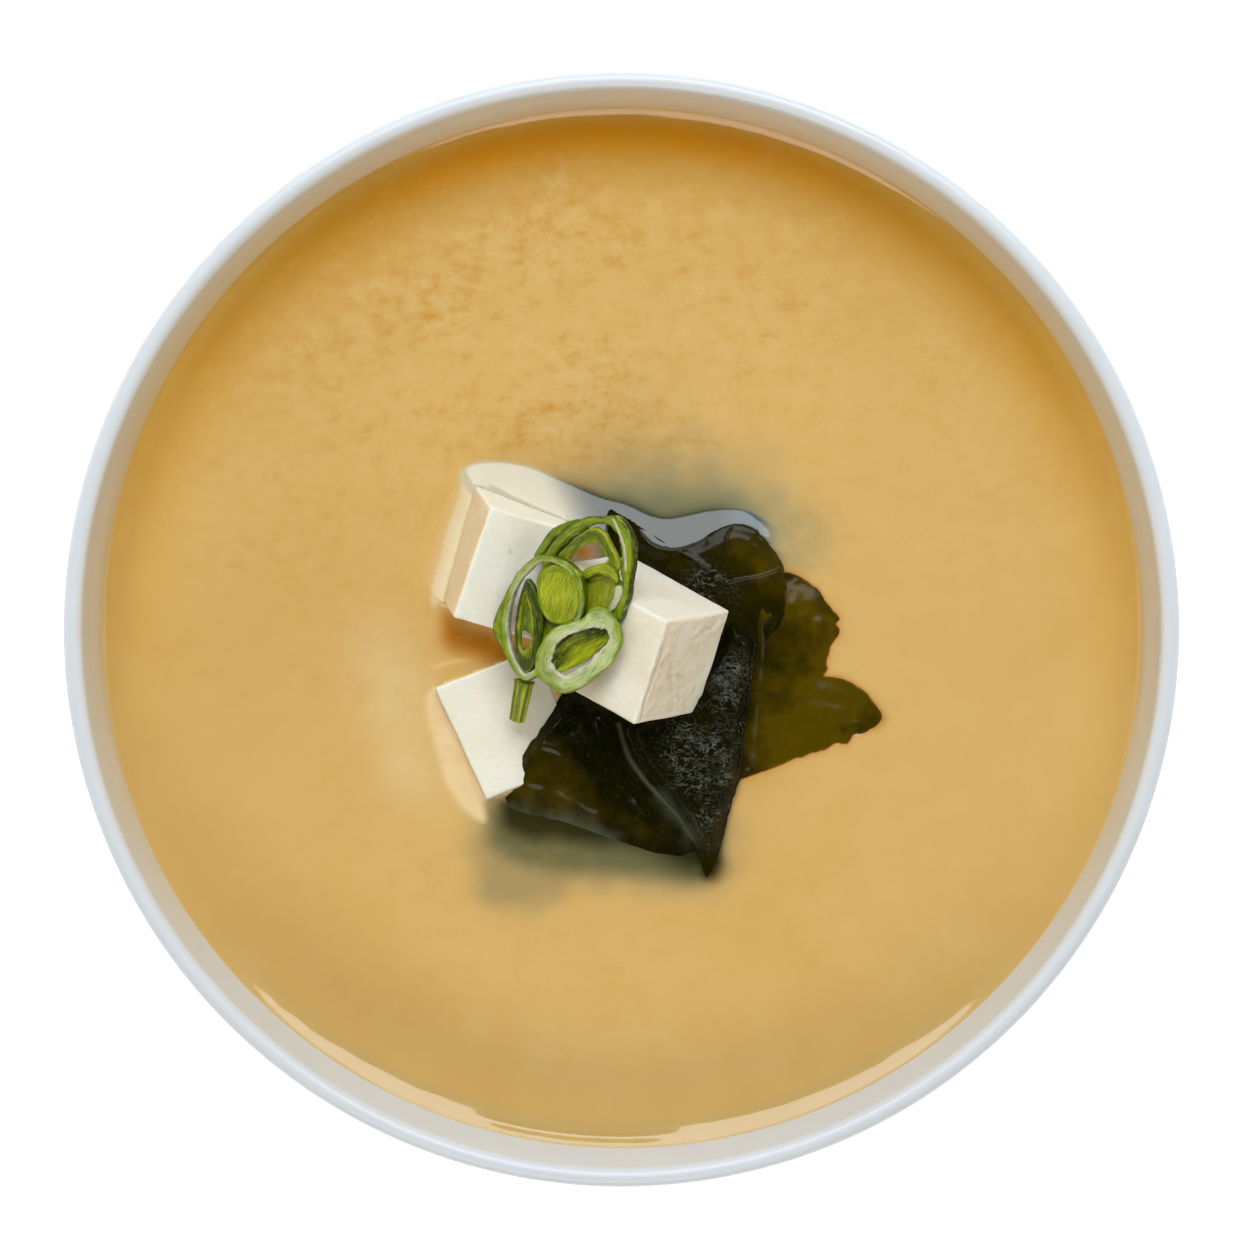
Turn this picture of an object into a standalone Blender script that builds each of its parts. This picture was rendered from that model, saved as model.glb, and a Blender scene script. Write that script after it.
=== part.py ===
"""A white porcelain bowl of miso soup with tofu blocks, wakame leaves and slices of spring onion.

Metres, +Z up. The origin is the centre of the foot ring on the table, +Y is the back of the bowl.
The garnish is placed from the bowl's axis, with heights counted from the soup's surface.
"""

import math

import bpy
from mathutils import Matrix, Vector

MM = 0.001
MERGE_DISTANCE = 0.00001

# Bowl
RIM_RADIUS = 60.0 * MM
BOWL_HEIGHT = 58.0 * MM
LIP_WALL = 2.1 * MM
BASE_WALL = 3.6 * MM
WALL_BOTTOM_RADIUS = 29.0 * MM
WALL_BOTTOM_HEIGHT = 5.0 * MM
WALL_CURVE_HEIGHT = 70.0 * MM  # vertical half axis of the ellipse that the outer wall follows
FOOT_OUTER_RADIUS = 28.0 * MM
FOOT_INNER_RADIUS = 24.6 * MM
FOOT_EDGE = 0.7 * MM
TURN_STEPS = 60
WALL_POINTS = 9
WALL_GRADING = 1.25  # above 1 the points gather near the foot, where the wall bends most
LIP_POINTS = 4

# Soup
FREEBOARD = 9.5 * MM  # from the rim's top down to the soup
SOUP_LEVEL = BOWL_HEIGHT - FREEBOARD
CLEARANCE = 0.3 * MM
FLOOR_SHARE = 0.5  # where the flat floor's inner ring of points lies, as a share of its radius

# Tofu: the corner that stands highest, and the three edges that leave it
TOFU_EDGE_ROUNDING = 0.5 * MM
TOFU = {
    "tofu_left": {
        "corner": (-14.1, 13.3, 6.5),
        "edges": ((-4.2, -12.2, -1.5), (9.3, -2.7, -2.6), (-3.6, 4.4, -10.5)),
    },
    "tofu_right": {
        "corner": (5.0, 1.0, 13.5),
        "edges": ((-3.6, -11.4, -3.7), (-11.6, 6.3, -6.5), (7.0, 1.1, -8.1)),
    },
    "tofu_front": {
        "corner": (-20.5, -6.4, 1.5),
        "edges": ((5.7, -12.4, -0.4), (11.1, 4.2, -0.7), (-0.9, -0.6, -10.5)),
    },
}

# Wakame: each leaf's outline, clockwise from above, its level over the soup, and the hills and dips it lies in
LEAF_SEGMENTS = 40
LEAF_RINGS = 8
LEAF = {
    "wakame_right": {
        "outline": (
            (18.2, 6.2), (20.2, 5.4), (21.8, 4.2), (22.6, 2.5), (23.8, 1.2), (23.6, -0.4), (22.7, -2.4),
            (22.2, -4.8), (24.7, -5.7), (26.6, -6.9), (28.7, -9.8), (26.6, -11.3), (23.8, -12.7), (19.5, -14.1),
            (14.6, -16.2), (13.4, -12.0), (13.4, -7.0), (14.6, -1.0), (16.2, 2.4)),
        "centre": (18.2, -5.0), "level": 0.8, "thickness": 0.5,
        "hills": ((19.0, -1.0, 4.0, 0.35), (24.0, -9.5, 3.0, 0.3)),
    },
    "wakame_back": {
        "outline": (
            (-1.4, 12.9), (1.6, 11.3), (3.1, 9.7), (5.0, 8.9), (7.4, 9.4), (10.0, 10.6), (12.4, 11.5),
            (14.4, 10.9), (16.4, 9.2), (17.6, 6.4), (15.4, 2.6), (12.2, 1.4), (8.6, 3.0), (3.0, 5.0), (-1.6, 8.6)),
        "centre": (8.4, 7.0), "level": 0.9, "thickness": 0.6,
        "hills": ((12.5, 7.5, 4.0, 0.8), (2.0, 9.6, 2.5, 0.5)),
    },
    "wakame_fold": {
        "outline": (
            (11.6, 0.9), (13.8, -0.4), (14.7, -2.2), (14.4, -5.0), (14.0, -8.4), (13.5, -12.0), (13.0, -16.2),
            (11.7, -20.6), (10.5, -25.0), (9.0, -27.8), (7.8, -24.6), (5.6, -20.6), (2.8, -17.0), (0.6, -13.6),
            (0.4, -10.8), (3.0, -9.0), (7.0, -6.0), (10.2, -2.0)),
        "centre": (9.6, -11.6), "level": 2.7, "thickness": 1.2,
        "hills": ((11.6, -8.0, 3.6, 1.0), (8.0, -16.0, 3.4, 0.5), (9.2, -27.0, 4.0, -1.6)),
    },
    "wakame_front": {
        "outline": (
            (-3.6, -6.6), (-1.0, -8.4), (0.8, -11.4), (1.6, -15.6), (4.6, -19.6), (6.4, -24.0), (3.4, -24.4),
            (-1.5, -22.9), (-5.8, -21.4), (-9.8, -20.5), (-13.9, -19.9), (-12.2, -18.2), (-11.2, -16.4),
            (-11.6, -14.0), (-9.2, -10.8), (-6.4, -7.2)),
        "centre": (-3.6, -14.6), "level": 0.9, "thickness": 0.6,
        "hills": ((-9.4, -11.4, 3.6, 1.3), (-3.6, -9.4, 2.8, 0.8), (-1.0, -18.0, 2.6, 0.3)),
    },
}

# Spring onion: oval rings, with half axes along and across, the direction of the long axis in degrees,
# and the direction that each ring's flat face looks in
RING_SEGMENTS = 22
RING_SIDES = 6
RING_TUBE = 0.25  # the tube of the ring before it is stretched, to a ring of radius 1
RING = {
    "onion_back": {
        "centre": (-3.2, 6.9, 10.0), "half": (5.8, 5.5), "wall": 1.2, "height": 1.2,
        "turn": 50, "facing": (-0.53, -0.11, 0.84)},
    "onion_back_inner": {
        "centre": (-3.0, 7.6, 10.2), "half": (3.5, 2.8), "wall": 0.9, "height": 1.0,
        "turn": 40, "facing": (-0.53, -0.11, 0.84)},
    "onion_left": {
        "centre": (-8.7, 1.3, 8.1), "half": (6.8, 5.0), "wall": 1.2, "height": 1.2,
        "turn": 76, "facing": (-0.41, -0.1, 0.9)},
    "onion_left_inner": {
        "centre": (-10.2, 0.4, 7.4), "half": (3.6, 0.9), "wall": 0.6, "height": 1.0,
        "turn": 80, "facing": (-0.41, -0.1, 0.9)},
    "onion_front": {
        "centre": (-4.2, -2.1, 11.6), "half": (5.4, 3.5), "wall": 1.4, "height": 1.3,
        "turn": 37, "facing": (-0.1, -0.15, 0.98)},
    "onion_front_inner": {
        "centre": (-4.2, -2.1, 11.6), "half": (3.1, 1.5), "wall": 0.9, "height": 1.0,
        "turn": 37, "facing": (-0.1, -0.15, 0.98)},
}
# The closed heart of the left ring, and the short cut leaf that hangs down on the front block
HEART = {"centre": (-6.7, 3.0, 9.1), "half": (2.1, 1.4), "height": 0.9, "turn": 76, "facing": (-0.41, -0.1, 0.9)}
STALK_LENGTH = 4.5 * MM
STALK_RADIUS = 1.0 * MM
STALK_FLATTENING = 0.6
STALK_SIDES = 12
STALK_START = (-10.0, -5.3, 4.0)
STALK_END = (-11.1, -9.7, 2.2)

COLOUR = {
    "porcelain": ((0.78, 0.80, 0.81), 0.12),
    "miso": ((0.66, 0.43, 0.14), 0.15),
    "tofu": ((0.86, 0.82, 0.70), 0.45),
    "wakame": ((0.020, 0.018, 0.004), 0.30),
    "onion": ((0.26, 0.42, 0.03), 0.35),
}


def clear_scene():
    for obj in list(bpy.data.objects):
        bpy.data.objects.remove(obj, do_unlink=True)


def new_collection(name):
    collection = bpy.data.collections.new(name)
    bpy.context.scene.collection.children.link(collection)
    return collection


def new_material(name):
    """A Principled BSDF with the colour and roughness that COLOUR gives."""
    colour, roughness = COLOUR[name]
    material = bpy.data.materials.new(name)
    material.use_nodes = True
    shader = material.node_tree.nodes["Principled BSDF"]
    shader.inputs["Base Color"].default_value = (*colour, 1.0)
    shader.inputs["Roughness"].default_value = roughness
    shader.inputs["Metallic"].default_value = 0.0
    return material


def adopt(obj, name, collection, material=None):
    """Names an object and moves it to its collection."""
    obj.name = name
    obj.data.name = name
    for other in list(obj.users_collection):
        other.objects.unlink(obj)
    collection.objects.link(obj)
    if material is not None:
        obj.data.materials.clear()
        obj.data.materials.append(material)
    return obj


def over_soup(point):
    """A point given in millimetres, with its height over the soup, as a place in metres."""
    x, y, z = point
    return Vector((x * MM, y * MM, SOUP_LEVEL + z * MM))


def outer_wall(share):
    """A point of the outer wall's ellipse and its outward normal, from share 0 at the foot to 1 at the lip."""
    top_height = BOWL_HEIGHT - LIP_WALL / 2
    centre_height = WALL_BOTTOM_HEIGHT + WALL_CURVE_HEIGHT
    last = math.acos((centre_height - top_height) / WALL_CURVE_HEIGHT)
    width = (RIM_RADIUS - WALL_BOTTOM_RADIUS) / math.sin(last)
    turn = share * last
    radius = WALL_BOTTOM_RADIUS + width * math.sin(turn)
    height = centre_height - WALL_CURVE_HEIGHT * math.cos(turn)
    normal = Vector((math.sin(turn) / width, -math.cos(turn) / WALL_CURVE_HEIGHT)).normalized()
    return Vector((radius, height)), normal


def wall_pair(share):
    """The outer and the inner point of the wall, which thins towards the lip."""
    point, normal = outer_wall(share)
    thickness = BASE_WALL + (LIP_WALL - BASE_WALL) * share
    return point, point - normal * thickness


def wall_shares():
    """The shares of the wall's height at which its points lie."""
    return [(step / (WALL_POINTS - 1)) ** WALL_GRADING for step in range(WALL_POINTS)]


def lip_arc():
    """The half round of the lip, from its outer side to its inner side."""
    outer, inner = wall_pair(1.0)
    middle, across = (outer + inner) / 2, (outer - inner) / 2
    up = Vector((-across.y, across.x))
    turns = [math.pi * step / (LIP_POINTS + 1) for step in range(1, LIP_POINTS + 1)]
    return [middle + across * math.cos(turn) + up * math.sin(turn) for turn in turns]


def turned(name, profile, collection, material):
    """A solid turned from a profile that leaves the axis and comes back to it, down the outer side."""
    mesh = bpy.data.meshes.new(name)
    edges = [(i, i + 1) for i in range(len(profile) - 1)]
    mesh.from_pydata([(radius, 0.0, height) for radius, height in profile], edges, [])
    obj = bpy.data.objects.new(name, mesh)
    collection.objects.link(obj)
    obj.data.materials.append(material)
    screw = obj.modifiers.new("Screw", "SCREW")
    screw.steps = screw.render_steps = TURN_STEPS
    screw.use_merge_vertices = True
    screw.merge_threshold = MERGE_DISTANCE
    screw.use_smooth_shade = True
    return obj


def make_bowl(collection, material):
    """The foot ring, the bellied wall, the round lip and the flat floor inside."""
    pairs = [wall_pair(share) for share in wall_shares()]
    under = WALL_BOTTOM_HEIGHT
    inside = [(inner.x, inner.y) for outer, inner in pairs]
    floor = inside[0][1]
    profile = [(0.0, floor), (WALL_BOTTOM_RADIUS * FLOOR_SHARE, floor)]
    profile += inside
    profile += [(point.x, point.y) for point in reversed(lip_arc())]
    profile += [(outer.x, outer.y) for outer, inner in reversed(pairs)]
    profile += [
        (FOOT_OUTER_RADIUS, under - FOOT_EDGE),
        (FOOT_OUTER_RADIUS - FOOT_EDGE / 2, FOOT_EDGE),
        (FOOT_OUTER_RADIUS - FOOT_EDGE, 0.0),
        (FOOT_INNER_RADIUS + FOOT_EDGE, 0.0),
        (FOOT_INNER_RADIUS, FOOT_EDGE),
        (FOOT_INNER_RADIUS, under - 2 * FOOT_EDGE),
        (FOOT_INNER_RADIUS - 2 * FOOT_EDGE, under - FOOT_EDGE),
        (0.0, under - FOOT_EDGE),
    ]
    return turned("bowl", profile, collection, material)


def soup_profile():
    """The inside of the bowl up to the soup's level, drawn in by the clearance."""
    points = []
    for share in wall_shares():
        outer, normal = outer_wall(share)
        inner = wall_pair(share)[1] - normal * CLEARANCE
        points.append((inner.x, inner.y))
    below = [point for point in points if point[1] < SOUP_LEVEL]
    above = points[len(below)]
    last = below[-1]
    part = (SOUP_LEVEL - last[1]) / (above[1] - last[1])
    edge = (last[0] + (above[0] - last[0]) * part, SOUP_LEVEL)
    return [(0.0, SOUP_LEVEL), edge] + below[::-1] + [(0.0, below[0][1])]


def parallelepiped(name, corner, edges, collection, material=None, grow=0.0):
    """A block with skewed edges, from a cube; grow moves each face out by that much."""
    volume = abs(edges[0].dot(edges[1].cross(edges[2])))
    centre = corner + (edges[0] + edges[1] + edges[2]) / 2
    spans = []
    for i in range(3):
        across = volume / edges[i - 2].cross(edges[i - 1]).length
        spans.append(edges[i] * (across + 2 * grow) / across)
    shear = Matrix((spans[0], spans[1], spans[2])).transposed()
    if shear.determinant() < 0:
        shear = Matrix((spans[1], spans[0], spans[2])).transposed()
    bpy.ops.mesh.primitive_cube_add(size=1.0)
    obj = adopt(bpy.context.active_object, name, collection, material)
    obj.data.transform(shear.to_4x4())
    obj.location = centre
    return obj


def make_tofu(collection, cutters, material):
    """The blocks, each with a larger twin that cuts its room out of the soup and the leaves."""
    twins = []
    for name, shape in TOFU.items():
        corner = over_soup(shape["corner"])
        edges = [Vector(edge) * MM for edge in shape["edges"]]
        block = parallelepiped(name, corner, edges, collection, material)
        bevel = block.modifiers.new("Bevel", "BEVEL")
        bevel.width = TOFU_EDGE_ROUNDING
        bevel.segments = 2
        twin = parallelepiped(name + "_room", corner, edges, cutters, grow=CLEARANCE)
        twin.hide_render = True
        twin.display_type = "WIRE"
        twins.append(twin)
    return twins


def cut(obj, cutters):
    for cutter in cutters:
        boolean = obj.modifiers.new("Cut", "BOOLEAN")
        boolean.operation = "DIFFERENCE"
        boolean.object = cutter


def spline_point(points, share):
    """A point on the closed Catmull-Rom curve through the points; share runs from 0 to 1 once round."""
    place = share * len(points)
    index = int(place) % len(points)
    t = place - int(place)
    before, start, end, after = (Vector(points[(index + i) % len(points)]) for i in (-1, 0, 1, 2))
    slope = end - before
    bend = 2 * before - 5 * start + 4 * end - after
    twist = 3 * start - 3 * end + after - before
    return start + (slope * t + bend * t * t + twist * t ** 3) / 2


def hill_height(x, y, hills):
    """The sum of round hills, each given by its place, its spread and its height."""
    height = 0.0
    for middle_x, middle_y, spread, rise in hills:
        distance = math.hypot(x - middle_x, y - middle_y)
        height += rise * math.exp(-(distance / spread) ** 2 / 2)
    return height


def make_leaf(name, shape, collection, material):
    """A leaf from a sphere pressed flat: its equator goes to the outline, and both halves follow the hills."""
    bpy.ops.mesh.primitive_uv_sphere_add(segments=LEAF_SEGMENTS, ring_count=LEAF_RINGS, radius=1.0)
    obj = adopt(bpy.context.active_object, name, collection, material)
    centre = Vector(shape["centre"])
    for vertex in obj.data.vertices:
        x, y, z = vertex.co
        polar = math.acos(max(-1.0, min(1.0, z)))
        out = 1.0 - abs(polar / (math.pi / 2) - 1.0)
        share = (-math.atan2(y, x) / (2 * math.pi)) % 1.0
        place = centre + (spline_point(shape["outline"], share) - centre) * out
        half = shape["thickness"] / 2 * math.sqrt(max(0.0, 1.0 - out ** 4))
        height = shape["level"] + hill_height(place.x, place.y, shape["hills"])
        vertex.co = over_soup((place.x, place.y, height + math.copysign(half, z)))
    obj.data.shade_smooth()
    return obj


def ring_frame(shape):
    """The place and turn of an onion ring: its flat face looks along facing, its long axis lies along turn."""
    normal = Vector(shape["facing"]).normalized()
    turn = math.radians(shape["turn"])
    along = Vector((math.cos(turn), math.sin(turn), 0.0))
    along = (along - normal * along.dot(normal)).normalized()
    across = normal.cross(along)
    rotation = Matrix((along, across, normal)).transposed().to_4x4()
    return Matrix.Translation(over_soup(shape["centre"])) @ rotation


def make_ring(name, shape, collection, material):
    """An oval ring: a torus with its tube stretched to the ring's height."""
    along, across = (half * MM for half in shape["half"])
    wall, height = shape["wall"] * MM, shape["height"] * MM
    bpy.ops.mesh.primitive_torus_add(
        major_radius=1.0, minor_radius=RING_TUBE, major_segments=RING_SEGMENTS, minor_segments=RING_SIDES)
    obj = adopt(bpy.context.active_object, name, collection, material)
    for vertex in obj.data.vertices:
        x, y, z = vertex.co
        radius = math.hypot(x, y)
        out = (radius - 1.0) / RING_TUBE * wall / 2 - wall / 2
        vertex.co = (x / radius * (along + out), y / radius * (across + out), z / RING_TUBE * height / 2)
    obj.matrix_world = ring_frame(shape)
    obj.data.shade_smooth()
    return obj


def make_heart(shape, collection, material):
    """The closed middle of a slice: a sphere pressed flat and stretched to an oval."""
    along, across = (half * MM for half in shape["half"])
    bpy.ops.mesh.primitive_uv_sphere_add(segments=RING_SEGMENTS, ring_count=RING_SIDES, radius=1.0)
    obj = adopt(bpy.context.active_object, "onion_heart", collection, material)
    obj.data.transform(Matrix.Diagonal((along, across, shape["height"] * MM / 2, 1.0)))
    obj.matrix_world = ring_frame(shape)
    obj.data.shade_smooth()
    return obj


def make_stalk(collection, material):
    """The short cut end of a leaf that hangs down on the front block."""
    start, end = over_soup(STALK_START), over_soup(STALK_END)
    bpy.ops.mesh.primitive_cylinder_add(vertices=STALK_SIDES, radius=STALK_RADIUS, depth=STALK_LENGTH)
    obj = adopt(bpy.context.active_object, "onion_stalk", collection, material)
    obj.data.transform(Matrix.Scale(STALK_FLATTENING, 4, (0.0, 1.0, 0.0)))
    direction = (end - start).normalized()
    side = direction.cross(Vector((0.0, 0.0, 1.0))).normalized()
    rotation = Matrix((side, direction.cross(side), direction)).transposed().to_4x4()
    obj.matrix_world = Matrix.Translation((start + end) / 2) @ rotation
    return obj


def main():
    clear_scene()
    served = new_collection("miso_soup")
    cutters = new_collection("cutters")
    make_bowl(served, new_material("porcelain"))
    soup = turned("soup", soup_profile(), served, new_material("miso"))
    rooms = make_tofu(served, cutters, new_material("tofu"))
    cut(soup, rooms)
    green = new_material("wakame")
    for name, shape in LEAF.items():
        cut(make_leaf(name, shape, served, green), rooms)
    onion = new_material("onion")
    for name, shape in RING.items():
        make_ring(name, shape, served, onion)
    make_heart(HEART, served, onion)
    make_stalk(served, onion)


main()
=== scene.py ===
# Miso soup in a white porcelain bowl, with tofu, wakame and spring onion: the finished surfaces, the lights
# and the camera
import math

import bpy
import numpy as np
from mathutils import Matrix, Vector


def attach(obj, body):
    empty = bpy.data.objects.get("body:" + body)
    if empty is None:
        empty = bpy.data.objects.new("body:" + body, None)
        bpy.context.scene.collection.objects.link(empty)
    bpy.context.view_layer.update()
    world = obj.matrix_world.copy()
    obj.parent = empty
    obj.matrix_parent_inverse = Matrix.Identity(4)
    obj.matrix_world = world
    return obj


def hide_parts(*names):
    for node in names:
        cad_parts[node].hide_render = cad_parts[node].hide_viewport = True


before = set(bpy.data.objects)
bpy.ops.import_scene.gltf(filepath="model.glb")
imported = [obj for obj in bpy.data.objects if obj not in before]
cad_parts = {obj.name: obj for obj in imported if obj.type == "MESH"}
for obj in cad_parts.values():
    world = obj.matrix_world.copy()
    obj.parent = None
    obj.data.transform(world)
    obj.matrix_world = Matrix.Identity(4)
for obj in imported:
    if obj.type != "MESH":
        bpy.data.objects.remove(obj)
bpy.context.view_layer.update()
print("frame loaded:", len(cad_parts), "nodes")

mm = 0.001
soupLevel = 48.5  # millimetres over the table; the shapes below are worked out in millimetres
pieces = {}


def linear(colour):
    # A colour of 0 to 255 made linear by the standard screen curve
    part = np.asarray(colour, dtype=float) / 255.0
    return np.where(part <= 0.04045, part / 12.92, ((part + 0.055) / 1.055) ** 2.4)


def smooth(low, high, value):
    # 0 below low, 1 above high, and 3t^2 - 2t^3 between them
    t = np.clip((value - low) / (high - low), 0.0, 1.0)
    return t * t * (3.0 - 2.0 * t)


def cornerValue(corner, seed):
    # A repeatable number from 0 to 1 for each whole-number corner, by mixing its bits
    mask = 0xFFFFFFFF
    mixed = (corner[..., 0] * 374761393 + corner[..., 1] * 668265263
             + corner[..., 2] * 2246822519 + seed * 3266489917)
    mixed = mixed & mask
    mixed = ((mixed ^ (mixed >> 15)) * 2246822519) & mask
    mixed = ((mixed ^ (mixed >> 13)) * 3266489917) & mask
    return (mixed ^ (mixed >> 16)) / mask


def latticeNoise(points, size, seed=0):
    # Random values at the corners of cells of the given size, blended smoothly inside each cell, from -1 to
    # 1
    scaled = points / size
    corner = np.floor(scaled).astype(np.int64)
    part = scaled - corner
    part = part * part * (3.0 - 2.0 * part)
    total = 0.0
    for stepX in (0, 1):
        for stepY in (0, 1):
            for stepZ in (0, 1):
                step = np.array((stepX, stepY, stepZ))
                weight = np.prod(np.where(step == 1, part, 1.0 - part), axis=-1)
                total = total + weight * cornerValue(corner + step, seed)
    return total * 2.0 - 1.0


def fractal(points, size, octaves, seed=0):
    # Lattice noise added to itself at half the size and half the strength, as often as octaves says
    return sum(latticeNoise(points, size / 2 ** i, seed + i) * 0.5 ** i for i in range(octaves))


def flat(x, y, z=0.0):
    # Points from separate coordinates
    return np.stack(np.broadcast_arrays(x, y, z), axis=-1).astype(float)


def closedCurve(points, count):
    # The closed Catmull-Rom curve through the points, at evenly spaced parameters
    points = np.asarray(points, dtype=float)
    place = np.arange(count) * len(points) / count
    index = np.floor(place).astype(int)
    t = (place - index)[:, None]
    before, start, end, after = (points[(index + step) % len(points)] for step in (-1, 0, 1, 2))
    bend = 2 * before - 5 * start + 4 * end - after
    twist = 3 * start - 3 * end + after - before
    return start + ((end - before) * t + bend * t ** 2 + twist * t ** 3) / 2


def openCurve(points, count):
    # The Catmull-Rom curve through the points, from the first to the last
    points = np.asarray(points, dtype=float)
    padded = np.concatenate([2 * points[:1] - points[1:2], points, 2 * points[-1:] - points[-2:-1]])
    place = np.linspace(0.0, len(points) - 1.0001, count)
    index = np.floor(place).astype(int)
    t = (place - index)[:, None]
    before, start, end, after = (padded[index + step] for step in range(4))
    bend = 2 * before - 5 * start + 4 * end - after
    twist = 3 * start - 3 * end + after - before
    return start + ((end - before) * t + bend * t ** 2 + twist * t ** 3) / 2


def lineDistance(x, y, corners, closed):
    # The distance to the nearest of the straight pieces between the corners
    corners = np.asarray(corners, dtype=float)
    ends = np.roll(corners, -1, axis=0) if closed else corners[1:]
    nearest = np.full(np.shape(x), 1e9)
    for (startX, startY), (endX, endY) in zip(corners, ends):
        runX, runY = endX - startX, endY - startY
        share = ((x - startX) * runX + (y - startY) * runY) / max(runX ** 2 + runY ** 2, 1e-12)
        share = np.clip(share, 0.0, 1.0)
        nearest = np.minimum(nearest, np.hypot(x - startX - share * runX, y - startY - share * runY))
    return nearest


def outsideBy(x, y, corners):
    # The distance outside a closed outline; inside it the distance is negative
    corners = np.asarray(corners, dtype=float)
    inside = np.zeros(np.shape(x), dtype=bool)
    for (startX, startY), (endX, endY) in zip(corners, np.roll(corners, -1, axis=0)):
        if startY != endY:
            crossing = startX + (y - startY) * (endX - startX) / (endY - startY)
            inside ^= ((startY > y) != (endY > y)) & (x < crossing)
    return lineDistance(x, y, corners, True) * np.where(inside, -1.0, 1.0)


def blobs(x, y, shapes):
    # The sum of round hills exp(-(d/spread)^2), each given by its place, its spread and its height
    return sum(rise * np.exp(-((x - placeX) ** 2 + (y - placeY) ** 2) / spread ** 2)
               for placeX, placeY, spread, rise in shapes) + 0.0 * x


def capped(rings):
    # Rings of points closed at both ends by a fan round the mean of the end ring
    count, segments = rings.shape[:2]
    points = np.concatenate([rings[:1].mean(axis=1), rings.reshape(-1, 3), rings[-1:].mean(axis=1)])
    ring = np.arange(count * segments).reshape(count, segments) + 1
    after = np.roll(ring, -1, axis=1)
    quads = np.stack([ring[:-1], after[:-1], after[1:], ring[1:]], axis=-1).reshape(-1, 4)
    first = np.stack([after[0], ring[0], np.zeros(segments, dtype=int)], axis=-1)
    last = np.stack([ring[-1], after[-1], np.full(segments, count * segments + 1)], axis=-1)
    return points, [quads, first, last]


def looped(grid):
    # A grid of points that closes on itself both ways
    count, segments = grid.shape[:2]
    ring = np.arange(count * segments).reshape(count, segments)
    after, onward = np.roll(ring, -1, axis=1), np.roll(ring, -1, axis=0)
    quads = np.stack([ring, after, np.roll(after, -1, axis=0), onward], axis=-1).reshape(-1, 4)
    return grid.reshape(-1, 3), [quads]


def outward(points, faceGroups):
    # Turns the faces round where the volume they enclose comes out negative
    volume = 0.0
    for faces in faceGroups:
        for i in range(1, faces.shape[1] - 1):
            first, second, third = points[faces[:, 0]], points[faces[:, i]], points[faces[:, i + 1]]
            volume += np.einsum("ij,ij->", first, np.cross(second, third))
    return [faces[:, ::-1] for faces in faceGroups] if volume < 0 else faceGroups


def joined(parts):
    # Several closed parts as one list of points, faces and point values
    points, faces, values, start = [], [], {}, 0
    for partPoints, partFaces, partValues in parts:
        points.append(partPoints)
        faces += [group + start for group in outward(partPoints, partFaces)]
        start += len(partPoints)
        for name, value in partValues.items():
            values.setdefault(name, []).append(value)
    return np.concatenate(points), faces, {name: np.concatenate(value) for name, value in values.items()}


def buildPiece(name, parts, material, replaced):
    # A mesh from parts in millimetres, with its colours and vectors as point attributes
    points, faceGroups, values = joined(parts)
    mesh = bpy.data.meshes.new(name)
    corners = np.concatenate([faces.ravel() for faces in faceGroups])
    sizes = np.concatenate([np.full(len(faces), faces.shape[1]) for faces in faceGroups])
    mesh.vertices.add(len(points))
    mesh.vertices.foreach_set("co", (points * mm).astype(np.float32).ravel())
    mesh.loops.add(len(corners))
    mesh.loops.foreach_set("vertex_index", corners.astype(np.int32))
    mesh.polygons.add(len(sizes))
    mesh.polygons.foreach_set("loop_start", (np.cumsum(sizes) - sizes).astype(np.int32))
    mesh.polygons.foreach_set("use_smooth", np.ones(len(sizes), dtype=bool))
    for key, value in values.items():
        if value.ndim == 1:
            mesh.attributes.new(key, "FLOAT", "POINT").data.foreach_set("value", value.astype(np.float32))
        elif key.endswith("Colour"):
            colour = np.concatenate([np.clip(value, 0.0, 1.0), np.ones((len(value), 1))], axis=1)
            mesh.attributes.new(key, "FLOAT_COLOR", "POINT").data.foreach_set(
                "color", colour.astype(np.float32).ravel())
        else:
            mesh.attributes.new(key, "FLOAT_VECTOR", "POINT").data.foreach_set(
                "vector", value.astype(np.float32).ravel())
    mesh.update(calc_edges=True)
    mesh.validate()
    mesh.materials.append(material)
    piece = bpy.data.objects.new(name, mesh)
    bpy.context.scene.collection.objects.link(piece)
    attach(piece, "root")
    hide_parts(*replaced)
    pieces[name] = piece
    triangles = int((sizes - 2).sum())
    print(name, "built:", triangles, "triangles")
    return piece


class Wire:
    # A shader socket on which + - * / and ** add Math nodes

    def __init__(self, finish, socket):
        self.finish = finish
        self.socket = socket

    def maths(self, operation, first, second):
        return self.finish.node("ShaderNodeMath", {"operation": operation}, {0: first, 1: second})

    def __add__(self, other):
        return self.maths("ADD", self, other)

    def __radd__(self, other):
        return self.maths("ADD", other, self)

    def __sub__(self, other):
        return self.maths("SUBTRACT", self, other)

    def __rsub__(self, other):
        return self.maths("SUBTRACT", other, self)

    def __mul__(self, other):
        return self.maths("MULTIPLY", self, other)

    def __rmul__(self, other):
        return self.maths("MULTIPLY", other, self)

    def __truediv__(self, other):
        return self.maths("DIVIDE", self, other)

    def __pow__(self, other):
        return self.maths("POWER", self, other)


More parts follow.
